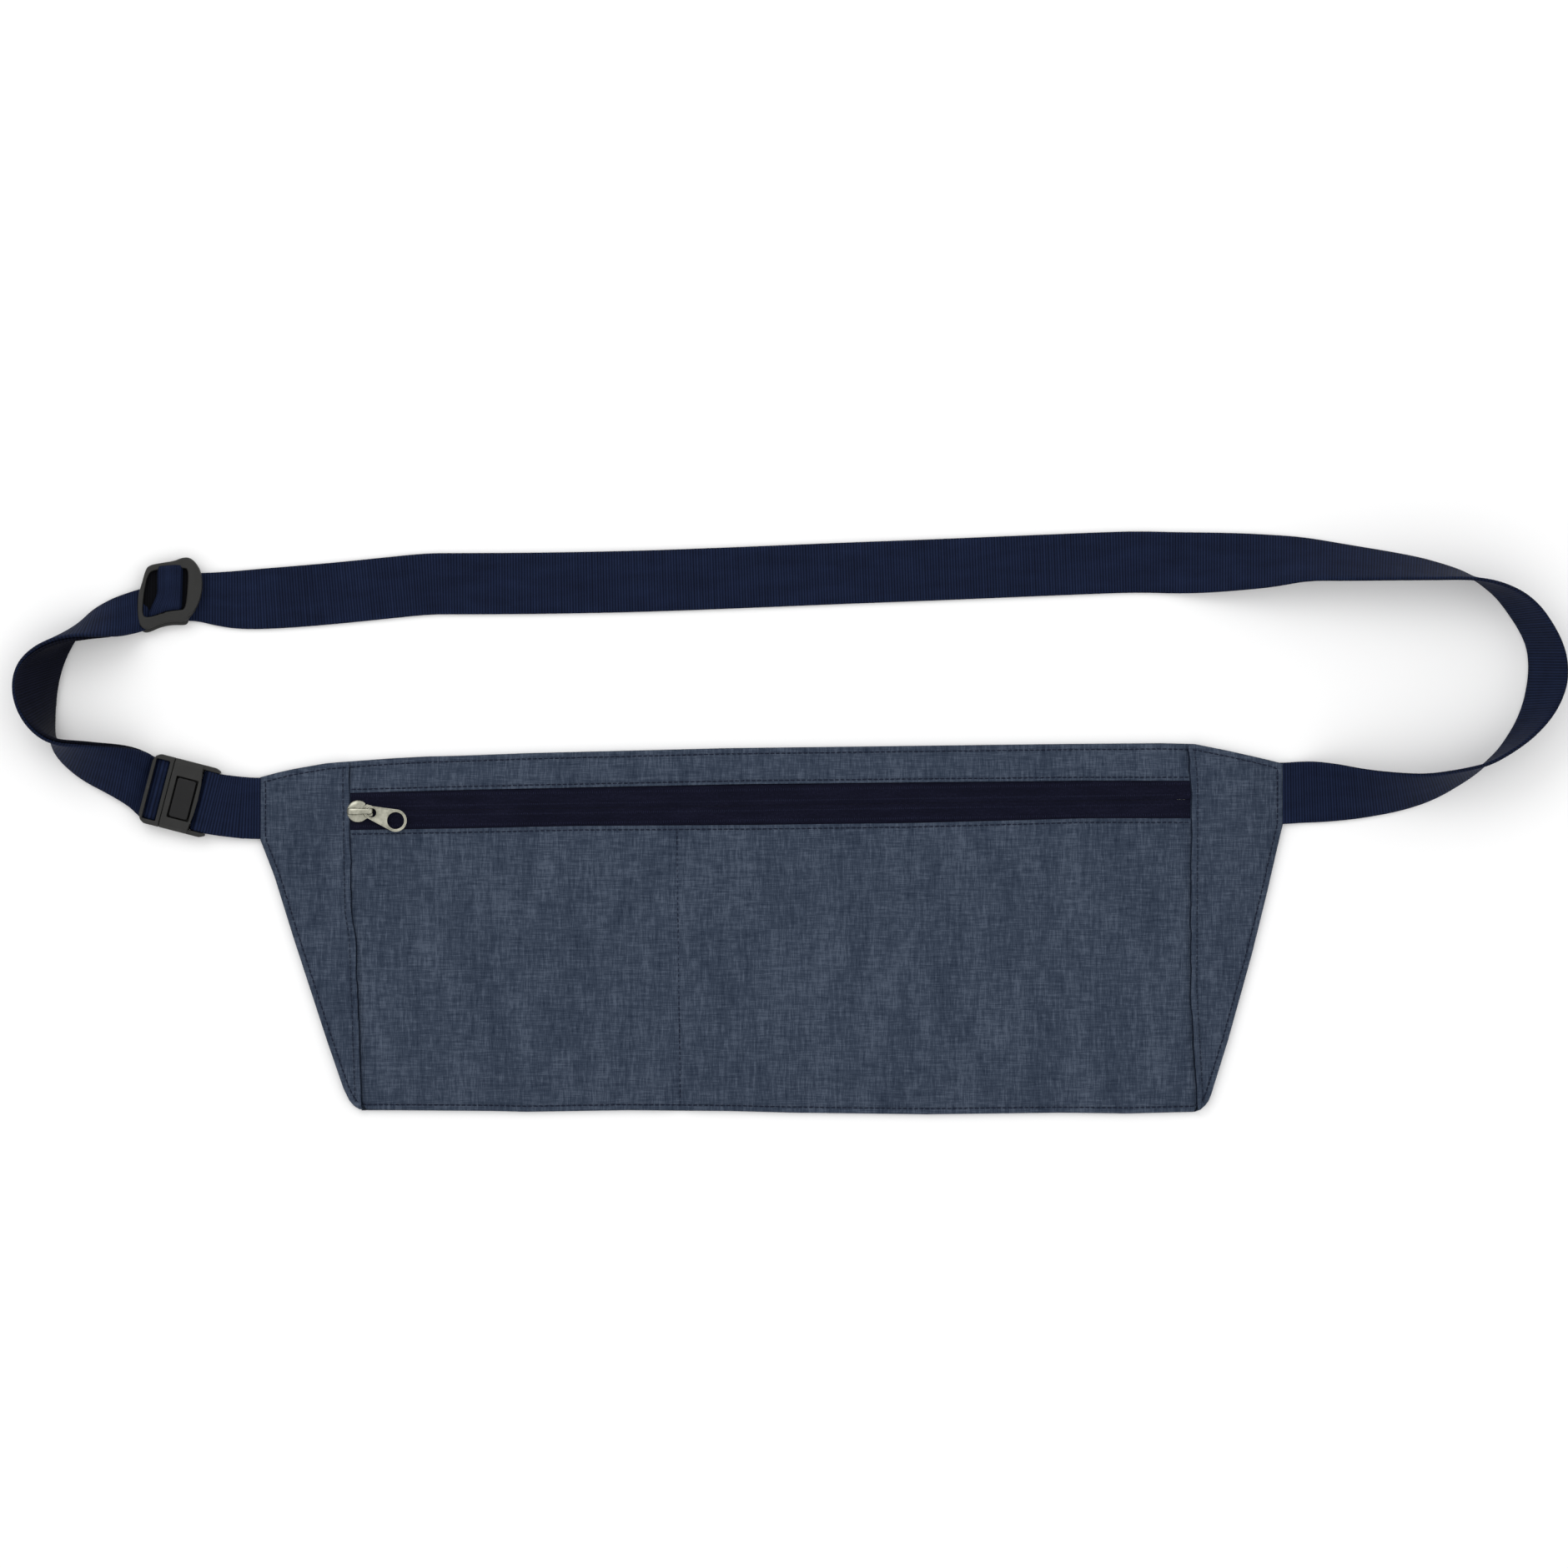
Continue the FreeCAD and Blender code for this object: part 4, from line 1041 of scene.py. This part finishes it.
STRAP_RIGHT = [
    (161.0, 34.2, 161.0, 54.2, 0.0), (167.4, 34.1, 167.4, 54.1, 0.0),
    (171.6, 34.5, 171.1, 54.4, 0.0),
    (177.0, 34.8, 176.4, 54.6, 1.8), (184.1, 35.4, 183.1, 54.1, 6.8),
    (195.0, 37.0, 193.4, 52.2, 12.9), (206.4, 39.4, 204.3, 51.1, 16.1),
    (216.2, 43.0, 213.5, 50.7, 18.2), (223.9, 47.6, 221.7, 51.7, 19.5),
    (229.3, 51.3, 228.4, 52.9, 19.9), (233.4, 55.1, 234.2, 54.3, 20.0),
    (236.6, 58.3, 241.3, 58.2, 19.5), (239.9, 63.1, 248.1, 63.0, 18.3),
    (242.9, 68.4, 254.0, 69.2, 16.6), (245.1, 74.4, 257.4, 75.2, 15.6),
    (246.4, 81.0, 259.1, 80.8, 15.2), (246.7, 86.8, 259.1, 86.6, 15.3),
    (245.9, 92.3, 257.8, 92.3, 15.8), (243.2, 97.8, 254.9, 98.3, 16.2),
    (239.6, 103.2, 250.5, 104.7, 16.7), (236.1, 107.8, 245.1, 109.2, 17.8),
    (232.3, 111.2, 237.7, 112.3, 19.2), (228.8, 113.8, 230.9, 113.5, 19.9),
    (224.4, 116.1, 224.0, 113.7, 19.8), (218.4, 118.2, 218.0, 113.5, 19.5),
    (210.8, 120.4, 210.4, 113.4, 18.8), (201.0, 122.3, 200.7, 113.3, 17.9),
    (192.3, 123.8, 192.0, 113.2, 17.0), (184.7, 125.1, 184.5, 113.2, 16.0),
    (177.1, 126.5, 177.0, 113.2, 15.0), (171.6, 127.3, 171.6, 112.6, 13.6),
    (164.0, 128.0, 164.0, 111.2, 11.0), (153.7, 128.7, 153.7, 110.2, 7.6),
    (141.5, 129.1, 141.5, 109.4, 3.6), (131.5, 129.3, 131.5, 109.3, 0.6),
    (122.0, 129.6, 122.0, 109.6, 0.0),
]
STRAP_FLAT = [
    (112.9, 119.5, 10), (85.7, 118.4, 10), (53.0, 117.0, 10),
    (20.4, 115.8, 10), (-12.2, 114.4, 10), (-44.9, 113.2, 10),
    (-77.5, 112.6, 10), (-102.5, 112.5, 10), (-112.0, 112.5, 10),
    (-126.5, 111.0, 10), (-140.1, 109.6, 10), (-153.7, 108.4, 10),
    (-165.0, 107.6, 9.9), (-174.0, 107.2, 9.5), (-181.0, 107.5, 8.7),
    (-187.5, 108.2, 7.8), (-194.0, 107.6, 7.2), (-200.0, 105.6, 6.9),
]
STRAP_LEFT = [
    (-206.4, 110.6, -206.4, 96.6, 1.5, 7.05),
    (-211, 108.9, -211, 95.5, 5.5, 7.3),
    (-215.2, 106.9, -215.6, 95.1, 12.5, 8.7),
    (-219.5, 104.3, -222.2, 95, 17.3, 10),
    (-222.2, 102, -226.9, 95, 18, 10),
    (-224.4, 99.6, -232, 94.4, 17.8, 10),
    (-226.4, 96.9, -237.5, 92.6, 16, 10),
    (-228.1, 94, -242.4, 89.6, 13.2, 10),
    (-229.7, 90.6, -245.6, 86, 11, 10),
    (-231.2, 86.6, -247.2, 81.7, 10.9, 10),
    (-232.6, 82.1, -247.2, 77, 12.6, 10),
    (-233.6, 77.4, -245.8, 72, 14.8, 10),
    (-234.2, 72.6, -243, 67.2, 17.1, 10),
    (-234.6, 67.9, -239.5, 63.7, 18.9, 10),
    (-234.7, 63.5, -235.6, 61.5, 19.8, 10),
    (-233.9, 59.2, -231.8, 60.6, 19.8, 10),
    (-231.5, 55.3, -228, 60.4, 19, 10),
    (-227.7, 51.6, -224, 60.2, 17.6, 10),
    (-223.3, 48.4, -219.5, 59.8, 15.8, 10),
    (-218.4, 45.7, -214.8, 59.6, 13.8, 10),
    (-213.8, 43, -210.5, 59.2, 11, 10),
    (-210.1, 40.6, -206.9, 58.4, 7, 10),
    (-207.6, 38.6, -204, 57.3, 2.6, 10),
]


def lifted(rows, out_layers, in_layers):
    pa = [Vector((r[0], r[1], 0)) for r in rows]
    pb = [Vector((r[2], r[3], r[4])) for r in rows]
    n = len(rows)
    res = []
    for i in range(n):
        j0, j1 = max(i - 1, 0), min(i + 1, n - 1)
        m0, m1 = (pa[j0] + pb[j0]) / 2, (pa[j1] + pb[j1]) / 2
        nr = (m1 - m0).cross(pb[i] - pa[i]).normalized()
        rise = -min(0.0, nr.z * out_layers, -nr.z * in_layers)
        up = Vector((0, 0, rise))
        res.append((pa[i] + up, pb[i] + up, nr))
    return res


rows = lifted(STRAP_RIGHT, 1.2, 0.0)
low_e, high_e, wid_e = [], [], []
for k, (a, b, nr) in enumerate(rows):
    up = Vector((0, 0, (0.65, 0.55, 0.2)[k] if k < 3 else 0.02))
    low_e.append((a + up) * MM)
    high_e.append((b + up) * MM)
    wid_e.append(10.0)
for i, (x, y, half) in enumerate(STRAP_FLAT):
    j0, j1 = max(i - 1, 0), min(i + 1, len(STRAP_FLAT) - 1)
    dx = STRAP_FLAT[j1][0] - STRAP_FLAT[j0][0]
    dy = STRAP_FLAT[j1][1] - STRAP_FLAT[j0][1]
    ll = math.hypot(dx, dy)
    nx, ny = dy / ll * 10, -dx / ll * 10
    if x < -180:
        nx = 0.0
    low_e.append(Vector((x + nx, y + ny, 0.05)) * MM)
    high_e.append(Vector((x - nx, y - ny, 0.05)) * MM)
    wid_e.append(half)

rows = lifted([r[:5] for r in STRAP_LEFT], 1.2, 1.5)
BT = math.radians(-14.5)
BC, BS = math.cos(BT), math.sin(BT)


def bp(u, v, z):
    return Vector(((-196.8 + u * BC - v * BS) * MM,
                   (44.5 + u * BS + v * BC) * MM, z * MM))


def across(u, z, w=9.75):
    return bp(u, -w, z), bp(u, w, z)


low_e += [a * MM for a, b, nr in rows]
high_e += [b * MM for a, b, nr in rows]
wid_e += [r[5] for r in STRAP_LEFT]
turn = [across(-7.4, 1.6), across(-5.8, 1.65), across(-4.5, 2.9),
        across(-4.0, 3.15), across(-3.0, 3.15), across(-2.7, 2.9),
        across(-2.62, 2.1), across(-2.75, 1.45), across(-3.4, 1.32),
        across(-5.0, 1.3)]
low_e += [a for a, b in turn]
high_e += [b for a, b in turn]
wid_e += [10.05] * len(turn)
route = ribbon_frames(low_e, high_e, wid_e)
mx, my = route["m"][:, 0], route["m"][:, 1]
cut = int(np.where((mx < -0.2055) & (my > 0.09))[0][0])
strap = ribbon_object("waist_strap_webbing", route, M_WEB, 0, cut + 1)
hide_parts("strap_main")
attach(strap, "pouch")
outer_w = ribbon_object("left_loop_webbing_outer", route, M_WEB, cut, None)

low_i = [a * MM - nr * 0.25 * MM for a, b, nr in rows]
high_i = [b * MM - nr * 0.25 * MM for a, b, nr in rows]
low_i += [across(-7.4, 1.34)[0], across(-5.2, 1.32)[0]]
high_i += [across(-7.4, 1.34)[1], across(-5.2, 1.32)[1]]
wid_i = [min(r[5], 9.9) - 1.3 * (k < 4) for k, r in enumerate(STRAP_LEFT)]
wid_i += [9.8, 9.8]
# the inner layer uses the darkened webbing copy: painted shade
inner_w = ribbon_object("left_loop_webbing_inner",
                        ribbon_frames(low_i, high_i, wid_i), M_WEB_PAINTED_SHADE,
                        offset=-T)
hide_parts("strap_left_loop")
for ob in (outer_w, inner_w):
    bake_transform(ob)

# short strap between socket and pouch
short_hi = [(-160.5, 49.15, 0.65), (-167.2, 49.15, 0.75),
            (-171.5, 49.4, 1.5)]
short_lo = [(-160.5, 29.3, 0.65), (-167.2, 29.3, 0.75), (-172.3, 29.4, 1.5)]
s_low = [Vector(p) * MM for p in short_lo]
s_high = [Vector(p) * MM for p in short_hi]
SW = 10.0
# travelling towards the buckle, the edge on the right hand is the far one
for u, z in ((16.5, 2.3), (13.4, 3.05), (11.5, 3.1), (10.95, 2.8),
             (10.8, 2.1), (10.95, 1.5), (12.0, 1.3), (16.5, 1.28)):
    s_low.append(bp(u, -SW + 0.1, z))
    s_high.append(bp(u, SW - 0.1, z))
s_low.append(Vector((-172.0, 29.4, 1.27)) * MM)
s_high.append(Vector((-171.5, 49.3, 1.27)) * MM)
short = ribbon_object("short_strap_webbing", ribbon_frames(s_high, s_low),
                      M_WEB)
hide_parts("strap_short_loop")
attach(short, "pouch")

# webbing humped over the slide's middle bar, and its sewn end below
def hump_piece():
    inner = np.array(chaikin(ADJ_IN, 2)) * MM
    c = inner.mean(0)

    def span(x):
        ys = []
        for p, q in zip(inner, np.roll(inner, -1, 0)):
            if (p[0] - x) * (q[0] - x) <= 0 and p[0] != q[0]:
                ys.append(p[1] + (q[1] - p[1]) * (x - p[0]) / (q[0] - p[0]))
        return (min(ys), max(ys)) if len(ys) > 1 else (c[1], c[1])

    step = PITCH / 5
    us = np.arange(0, 12.4 * MM, step)
    vs = np.linspace(0, 1, 41)
    pts, uvs = [], []
    for u in us:
        f = u / us[-1]
        for v in vs:
            # left boundary leans away at the bottom, right one is upright
            y0 = 101.6 + (118.7 - 101.6) * v
            left = -200.35 - 3.1 * float(smooth01(np.array(
                (0.55 - v) / 0.55))) ** 1.2
            right = -191.3 - 0.45 * (1 - v)
            x = (left + (right - left) * f) * MM
            lo, hi = span(x)
            top = max(hi - 0.10 * MM, min(hi + 1.1 * MM, 118.65 * MM))
            top = hi + (top - hi) * float(smooth01(np.array(
                min(f / 0.12, (1 - f) / 0.10))))
            y = min(max(y0 * MM, lo + 0.10 * MM), top)
            up = min(1.0, f / 0.13, (1 - f) / 0.12)
            z = 1.7 + 3.5 * math.sin(max(up, 0) * math.pi / 2)
            z += 0.35 * math.sin(f * math.pi)
            z -= 0.9 * math.exp(-((y - lo) / MM / 0.55) ** 2)
            z -= 0.75 * math.exp(-((top - y) / MM / 0.5) ** 2)
            z += 0.09 * (abs(math.sin(math.pi * u / PITCH)) ** 0.8 - 1)
            z += 0.10 * noise.noise(Vector((x * 400, y * 300, 2.0)))
            pts.append((x, y, z * MM))
            uvs.append((u * 1.3, y))
    return make_obj("slide_webbing_over_bar", pts,
                    grid_faces(len(us), len(vs), flip=True), M_WEB, uvs=uvs)




# ---------------------------------------------------------------------------
# hardware
# ---------------------------------------------------------------------------
def rounded(ob, voxel, times, factor=0.5):
    """Turns a hard-edged solid into a moulded one with soft corners."""
    rm = ob.modifiers.new("voxel", "REMESH")
    rm.mode = "VOXEL"
    rm.voxel_size = voxel * 1
    sm = ob.modifiers.new("soften", "SMOOTH")
    sm.factor = factor
    sm.iterations = times
    dg = bpy.context.evaluated_depsgraph_get()
    new = bpy.data.meshes.new_from_object(ob.evaluated_get(dg))
    ob.modifiers.clear()
    ob.data = new
    new.polygons.foreach_set("use_smooth", [True] * len(new.polygons))
    return ob


def moulded(node, name, mat, voxel=0.17 * MM, times=7):
    me = nodes[node].data.copy()
    me.name = name
    ob = bpy.data.objects.new(name, me)
    scene.collection.objects.link(ob)
    bm = bmesh.new()
    bm.from_mesh(me)
    bmesh.ops.remove_doubles(bm, verts=bm.verts, dist=1e-6)
    bm.to_mesh(me)
    bm.free()
    rounded(ob, voxel, times)
    ob.data.materials.clear()
    ob.data.materials.append(mat)
    return ob


def plate(name, rings, z0, z1, bevel, mat, shape=None):
    """Flat plate with rounded edges; rings[0] is the outline, rest holes."""
    cu = bpy.data.curves.new(name, "CURVE")
    cu.dimensions = "2D"
    cu.fill_mode = "BOTH"
    cu.extrude = max((z1 - z0) / 2 - bevel, 1e-6)
    cu.bevel_depth = bevel
    cu.bevel_resolution = 3
    cu.offset = -bevel
    for r in rings:
        sp = cu.splines.new("POLY")
        sp.points.add(len(r) - 1)
        for q, (x, y) in zip(sp.points, r):
            q.co = (x, y, 0, 1)
        sp.use_cyclic_u = True
    tmp = bpy.data.objects.new(name + "_c", cu)
    scene.collection.objects.link(tmp)
    me = bpy.data.meshes.new_from_object(tmp)
    bpy.data.objects.remove(tmp)
    bpy.data.curves.remove(cu)
    me.name = name
    co = np.zeros(len(me.vertices) * 3)
    me.vertices.foreach_get("co", co)
    co = co.reshape(-1, 3)
    co[:, 2] += (z0 + z1) / 2
    if shape is not None:
        co = shape(co)
    me.vertices.foreach_set("co", co.ravel())
    ob = bpy.data.objects.new(name, me)
    scene.collection.objects.link(ob)
    me.materials.clear()
    me.materials.append(mat)
    bm = bmesh.new()
    bm.from_mesh(me)
    bmesh.ops.remove_doubles(bm, verts=bm.verts, dist=2e-6)
    bmesh.ops.recalc_face_normals(bm, faces=bm.faces)
    bm.to_mesh(me)
    bm.free()
    for p in me.polygons:
        p.use_smooth = True
    me.set_sharp_from_angle(angle=math.radians(40))
    return ob


def chaikin(pts, times=2):
    pts = [np.array(p, float) for p in pts]
    for _ in range(times):
        out = []
        for i in range(len(pts)):
            a, b = pts[i], pts[(i + 1) % len(pts)]
            out += [a * 0.75 + b * 0.25, a * 0.25 + b * 0.75]
        pts = out
    return [tuple(p) for p in pts]


def circle(c, r, n=48, squash=(1, 1)):
    return [(c[0] + r * math.cos(i * 2 * math.pi / n) * squash[0],
             c[1] + r * math.sin(i * 2 * math.pi / n) * squash[1])
            for i in range(n)]


ADJ_OUT = [(-203.86, 116.82), (-202.64, 118.46), (-198.29, 119.27),
           (-194.48, 119.82), (-192.30, 120.77), (-190.13, 121.07),
           (-188.50, 120.36), (-186.86, 118.46), (-185.91, 116.55),
           (-185.34, 114.10), (-185.23, 111.11), (-185.91, 107.58),
           (-186.86, 105.13), (-188.50, 102.68), (-189.86, 101.32),
           (-190.13, 99.69), (-191.22, 99.01), (-195.30, 99.14),
           (-199.10, 98.33), (-202.64, 96.70), (-204.54, 96.70),
           (-206.18, 98.60), (-206.45, 104.31), (-206.18, 108.94),
           (-205.20, 111.93)]
ADJ_IN = [(-202.64, 116.01), (-200.46, 116.96), (-191.22, 117.64),
          (-189.86, 116.82), (-190.13, 110.30), (-190.94, 104.04),
          (-192.85, 103.90), (-197.20, 103.50), (-200.46, 102.14),
          (-203.73, 101.32), (-204.82, 102.68), (-204.54, 107.58),
          (-203.73, 112.47)]
to_m = lambda pts: [(x * MM, y * MM) for x, y in pts]


def end_wrap_piece():
    """Sewn end of the strap: flat under the window, then up round the bar."""
    ring_in = np.array(chaikin(ADJ_IN, 2))
    c = ring_in.mean(0)
    grown = c + (ring_in - c) * 1.07
    lines = []
    for x in np.linspace(grown[:, 0].min() + 0.05, grown[:, 0].max() - 0.05,
                         60):
        ys = []
        for p, q in zip(grown, np.roll(grown, -1, 0)):
            if (p[0] - x) * (q[0] - x) <= 0 and p[0] != q[0]:
                ys.append(p[1] + (q[1] - p[1]) * (x - p[0]) / (q[0] - p[0]))
        lines.append((x, min(ys), max(ys)))
    pts, uvs = [], []
    for side in (1, 0):
        for x, lo, hi in lines:
            for v in np.linspace(0, 1, 12):
                y = lo + (hi - lo) * v
                bar = math.exp(-((x + 198.2) / 1.3) ** 4) * (
                    abs(y - 109.9) < 7.4)
                z = (3.0 if side else 2.8) + 1.4 * bar * side
                pts.append((x * MM, y * MM, z * MM))
                uvs.append((x * MM, y * MM))
    n = len(lines)
    faces = grid_faces(n, 12, 0, flip=True) + grid_faces(n, 12, n * 12)
    return make_obj("slide_webbing_end", pts, faces, M_SHADE, uvs=uvs)


wrap_w = end_wrap_piece()
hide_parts("strap_end_wrap")
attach(wrap_w, "adjuster")
hump_w = hump_piece()
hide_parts("strap_over_bar")
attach(hump_w, "adjuster")


def adj_shape(co):
    """Thumb bar on the right stands higher; rails dip in the middle."""
    x, y, z = co[:, 0] / MM, co[:, 1] / MM, co[:, 2] / MM
    up = np.clip((z - 1.6) / 3.0, 0, 1)
    bar = smooth01((x + 191.5) / 4.0)
    z = z + up * (0.75 * bar - 0.35 * np.exp(-((x + 197.5) / 3.5) ** 2))
    co = co.copy()
    co[:, 2] = z * MM
    return co


ADJ_MAIN = [(x, y + (0.95 * max(0.0, min(1.0, (104 - y) / 4.0)) if x < -189.5
                      else 0.0)) for x, y in ADJ_OUT]
adj = plate("slide_frame", [to_m(chaikin(ADJ_MAIN, 2)),
                            to_m(chaikin(ADJ_IN, 2))],
            1.7 * MM, 4.7 * MM, 0.45 * MM, M_PLASTIC)
rounded(adj, 0.16 * MM, 8)
co = np.zeros(len(adj.data.vertices) * 3)
adj.data.vertices.foreach_get("co", co)
adj.data.vertices.foreach_set("co", adj_shape(co.reshape(-1, 3)).ravel())
adj.data.materials.clear()
adj.data.materials.append(M_PLASTIC)
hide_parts("adjuster_frame")
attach(adj, "adjuster")
c0 = np.array([-195.8, 108.9])
skirt_out = [tuple(c0 + (np.array(p) - c0) * (0.985 if p[1] > 104 else 1.012))
             for p in chaikin(ADJ_OUT, 2)]
skirt = plate("slide_skirt", [to_m(skirt_out), to_m(chaikin(ADJ_IN, 2))],
              1.4 * MM, 3.1 * MM, 0.35 * MM, M_PLASTIC)
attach(skirt, "adjuster")
bar = plate("slide_middle_bar",
            [to_m([(-198.9, 118.4), (-196.9, 118.6), (-197.5, 100.4),
                   (-199.7, 100.2)])],
            2.75 * MM, 3.85 * MM, 0.3 * MM, M_PLASTIC)
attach(bar, "adjuster")

sock = moulded("buckle_socket", "buckle_socket_moulding", M_PLASTIC)
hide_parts("buckle_socket")
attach(sock, "pouch")
plug = moulded("buckle_plug_frame", "buckle_plug_moulding", M_PLASTIC)
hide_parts("buckle_plug_frame")
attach(plug, "buckle_male")
ton = moulded("release_tongue", "release_tongue_moulding", M_PAD, 0.15 * MM)
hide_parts("release_tongue")
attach(ton, "release_button")

# -- zip slider --------------------------------------------------------------
def lathe_loops(name, outline, levels, mat, place, shape=None):
    """Stack of scaled outlines: levels are (scale, z)."""
    pts = []
    n = len(outline)
    cx = sum(p[0] for p in outline) / n
    cy = sum(p[1] for p in outline) / n
    for sc, z in levels:
        for u, v in outline:
            uu, vv = cx + (u - cx) * sc, cy + (v - cy) * sc
            zz = z if shape is None else shape(uu, vv, z)
            pts.append(place(uu, vv, zz))
    faces = grid_faces(len(levels), n, closed_v=True)
    faces.append(tuple(range((len(levels) - 1) * n, len(levels) * n)))
    faces.append(tuple(range(n))[::-1])
    ob = make_obj(name, pts, faces, mat)
    bm = bmesh.new()
    bm.from_mesh(ob.data)
    bmesh.ops.recalc_face_normals(bm, faces=bm.faces)
    bm.to_mesh(ob.data)
    bm.free()
    return ob


body_line = [(1.45 + 3.62 * math.cos(a), 3.62 * math.sin(a))
             for a in np.linspace(math.radians(48), math.radians(312), 44)]
body_line += chaikin([(4.3, -2.5), (5.0, -2.0), (5.9, -1.9), (6.3, -1.4),
                      (6.3, 1.4), (5.9, 1.9), (5.0, 2.0), (4.3, 2.5)],
                     1)[1:-1]


def body_dome(u, v, z):
    fall = float(smooth01(np.array((u - 2.6) / 2.6)))
    rib = math.exp(-(v / 0.9) ** 2)
    return z - max(0.0, z - 5.6) * (0.8 * fall + 0.35 * rib)


slider = lathe_loops("zip_slider_shell", body_line,
                     [(0.93, 5.10), (0.99, 5.18), (1.0, 5.35), (1.0, 5.55),
                      (0.975, 5.74), (0.92, 5.90), (0.82, 6.06), (0.66, 6.2),
                      (0.45, 6.30), (0.2, 6.34)], M_METAL, zp, body_dome)
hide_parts("zip_slider_body")
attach(slider, "zip_slider")
low_plate = lathe_loops("zip_slider_lower_plate", body_line,
                        [(0.94, 2.5), (1.0, 2.62), (1.0, 3.1), (0.95, 3.25)],
                        M_METAL, zp)
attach(low_plate, "zip_slider")
post = lathe_loops("zip_slider_wedge",
                   chaikin([(-1.9, 0), (-0.9, 1.1), (0.9, 0), (-0.9, -1.1)],
                           2),
                   [(1.0, 3.15), (0.9, 3.4), (0.9, 5.0), (1.0, 5.2)],
                   M_METAL, zp)
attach(post, "zip_slider")


def crown_piece():
    """Cast bridge that holds the pull, with a rounded nose."""
    path = nurbs_line([(u * MM, 0, z * MM) for u, z in (
        (-1.55, 5.45), (-1.6, 6.3), (-1.35, 7.0), (-0.5, 7.35), (1.2, 7.6),
        (3.2, 7.75), (4.8, 7.8), (5.7, 7.65), (6.05, 7.0), (6.0, 6.2),
        (5.95, 5.3))], 8)
    tg = np.gradient(path, axis=0)
    tg /= np.linalg.norm(tg, axis=1)[:, None]
    pts = []
    n = 20
    for p, d in zip(path, tg):
        nx, nz = -d[2], d[0]
        f = np.clip((p[0] / MM + 1.5) / 7.5, 0, 1)
        half = 1.06 - 0.30 * f + 0.12 * math.exp(-((p[0] / MM - 5.4) / 0.7
                                                   ) ** 2)
        th = 0.42
        for q in range(n):
            a = q * 2 * math.pi / n
            cs, sn = math.cos(a), math.sin(a)
            v = half * math.copysign(abs(cs) ** 0.6, cs)
            h = th * math.copysign(abs(sn) ** 0.75, sn)
            pts.append(zp(p[0] / MM + nx * h, v, p[2] / MM + nz * h))
    faces = grid_faces(len(path), n, closed_v=True)
    faces.append(tuple(range(n)))
    faces.append(tuple(range((len(path) - 1) * n, len(path) * n))[::-1])
    ob = make_obj("zip_slider_bridge", pts, faces, M_METAL)
    bm = bmesh.new()
    bm.from_mesh(ob.data)
    bmesh.ops.recalc_face_normals(bm, faces=bm.faces)
    bm.to_mesh(ob.data)
    bm.free()
    return ob


crown = crown_piece()
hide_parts("zip_slider_crown")
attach(crown, "zip_slider")

YAW = math.radians(-17.9)
piv = (-136.0 + 4.35 * ZC, 38.28 + 4.35 * ZS)


def tp(s, w):
    return ((piv[0] + s * math.cos(YAW) - w * math.sin(YAW)) * MM,
            (piv[1] + s * math.sin(YAW) + w * math.cos(YAW)) * MM)


def teardrop(s1, r1, s2, r2):
    """Outline round two circles on the pull's middle line."""
    th = math.acos((r1 - r2) / (s2 - s1))
    a = [(s2 + r2 * math.cos(q), r2 * math.sin(q))
         for q in np.linspace(-th, th, 40)]
    b = [(s1 + r1 * math.cos(q), r1 * math.sin(q))
         for q in np.linspace(th, 2 * math.pi - th, 26)]
    return a + b


def ring_line(s0, r, w0=0.0, n=44):
    return [(s0 + r * math.cos(q), w0 + r * math.sin(q))
            for q in np.linspace(0, 2 * math.pi, n + 1)[:-1]]


put = lambda pts: [tp(*p) for p in pts]
tabp = plate("zip_pull_plate",
             [put(teardrop(1.3, 2.12, 9.9, 3.67)),
              put(ring_line(1.72, 1.5)), put(ring_line(9.9, 2.72))],
             6.2 * MM, 6.95 * MM, 0.2 * MM, M_METAL)
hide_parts("zip_pull_tab")
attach(tabp, "zip_pull")
# raised rims round the outline, the ring and the eye
for nm, rings in (
        ("zip_pull_rim", [put(teardrop(1.3, 2.12, 9.9, 3.67)),
                          put(teardrop(1.45, 1.72, 9.9, 3.22))]),
        ("zip_pull_eye_rim", [put(ring_line(1.72, 1.86)),
                              put(ring_line(1.72, 1.5))])):
    rim = plate(nm, rings, 6.6 * MM, 7.12 * MM, 0.13 * MM, M_METAL)
    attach(rim, "zip_pull")

for node in ("zip_top_stop", "zip_bottom_stop"):
    nodes[node].data.materials.clear()
    nodes[node].data.materials.append(M_METAL)
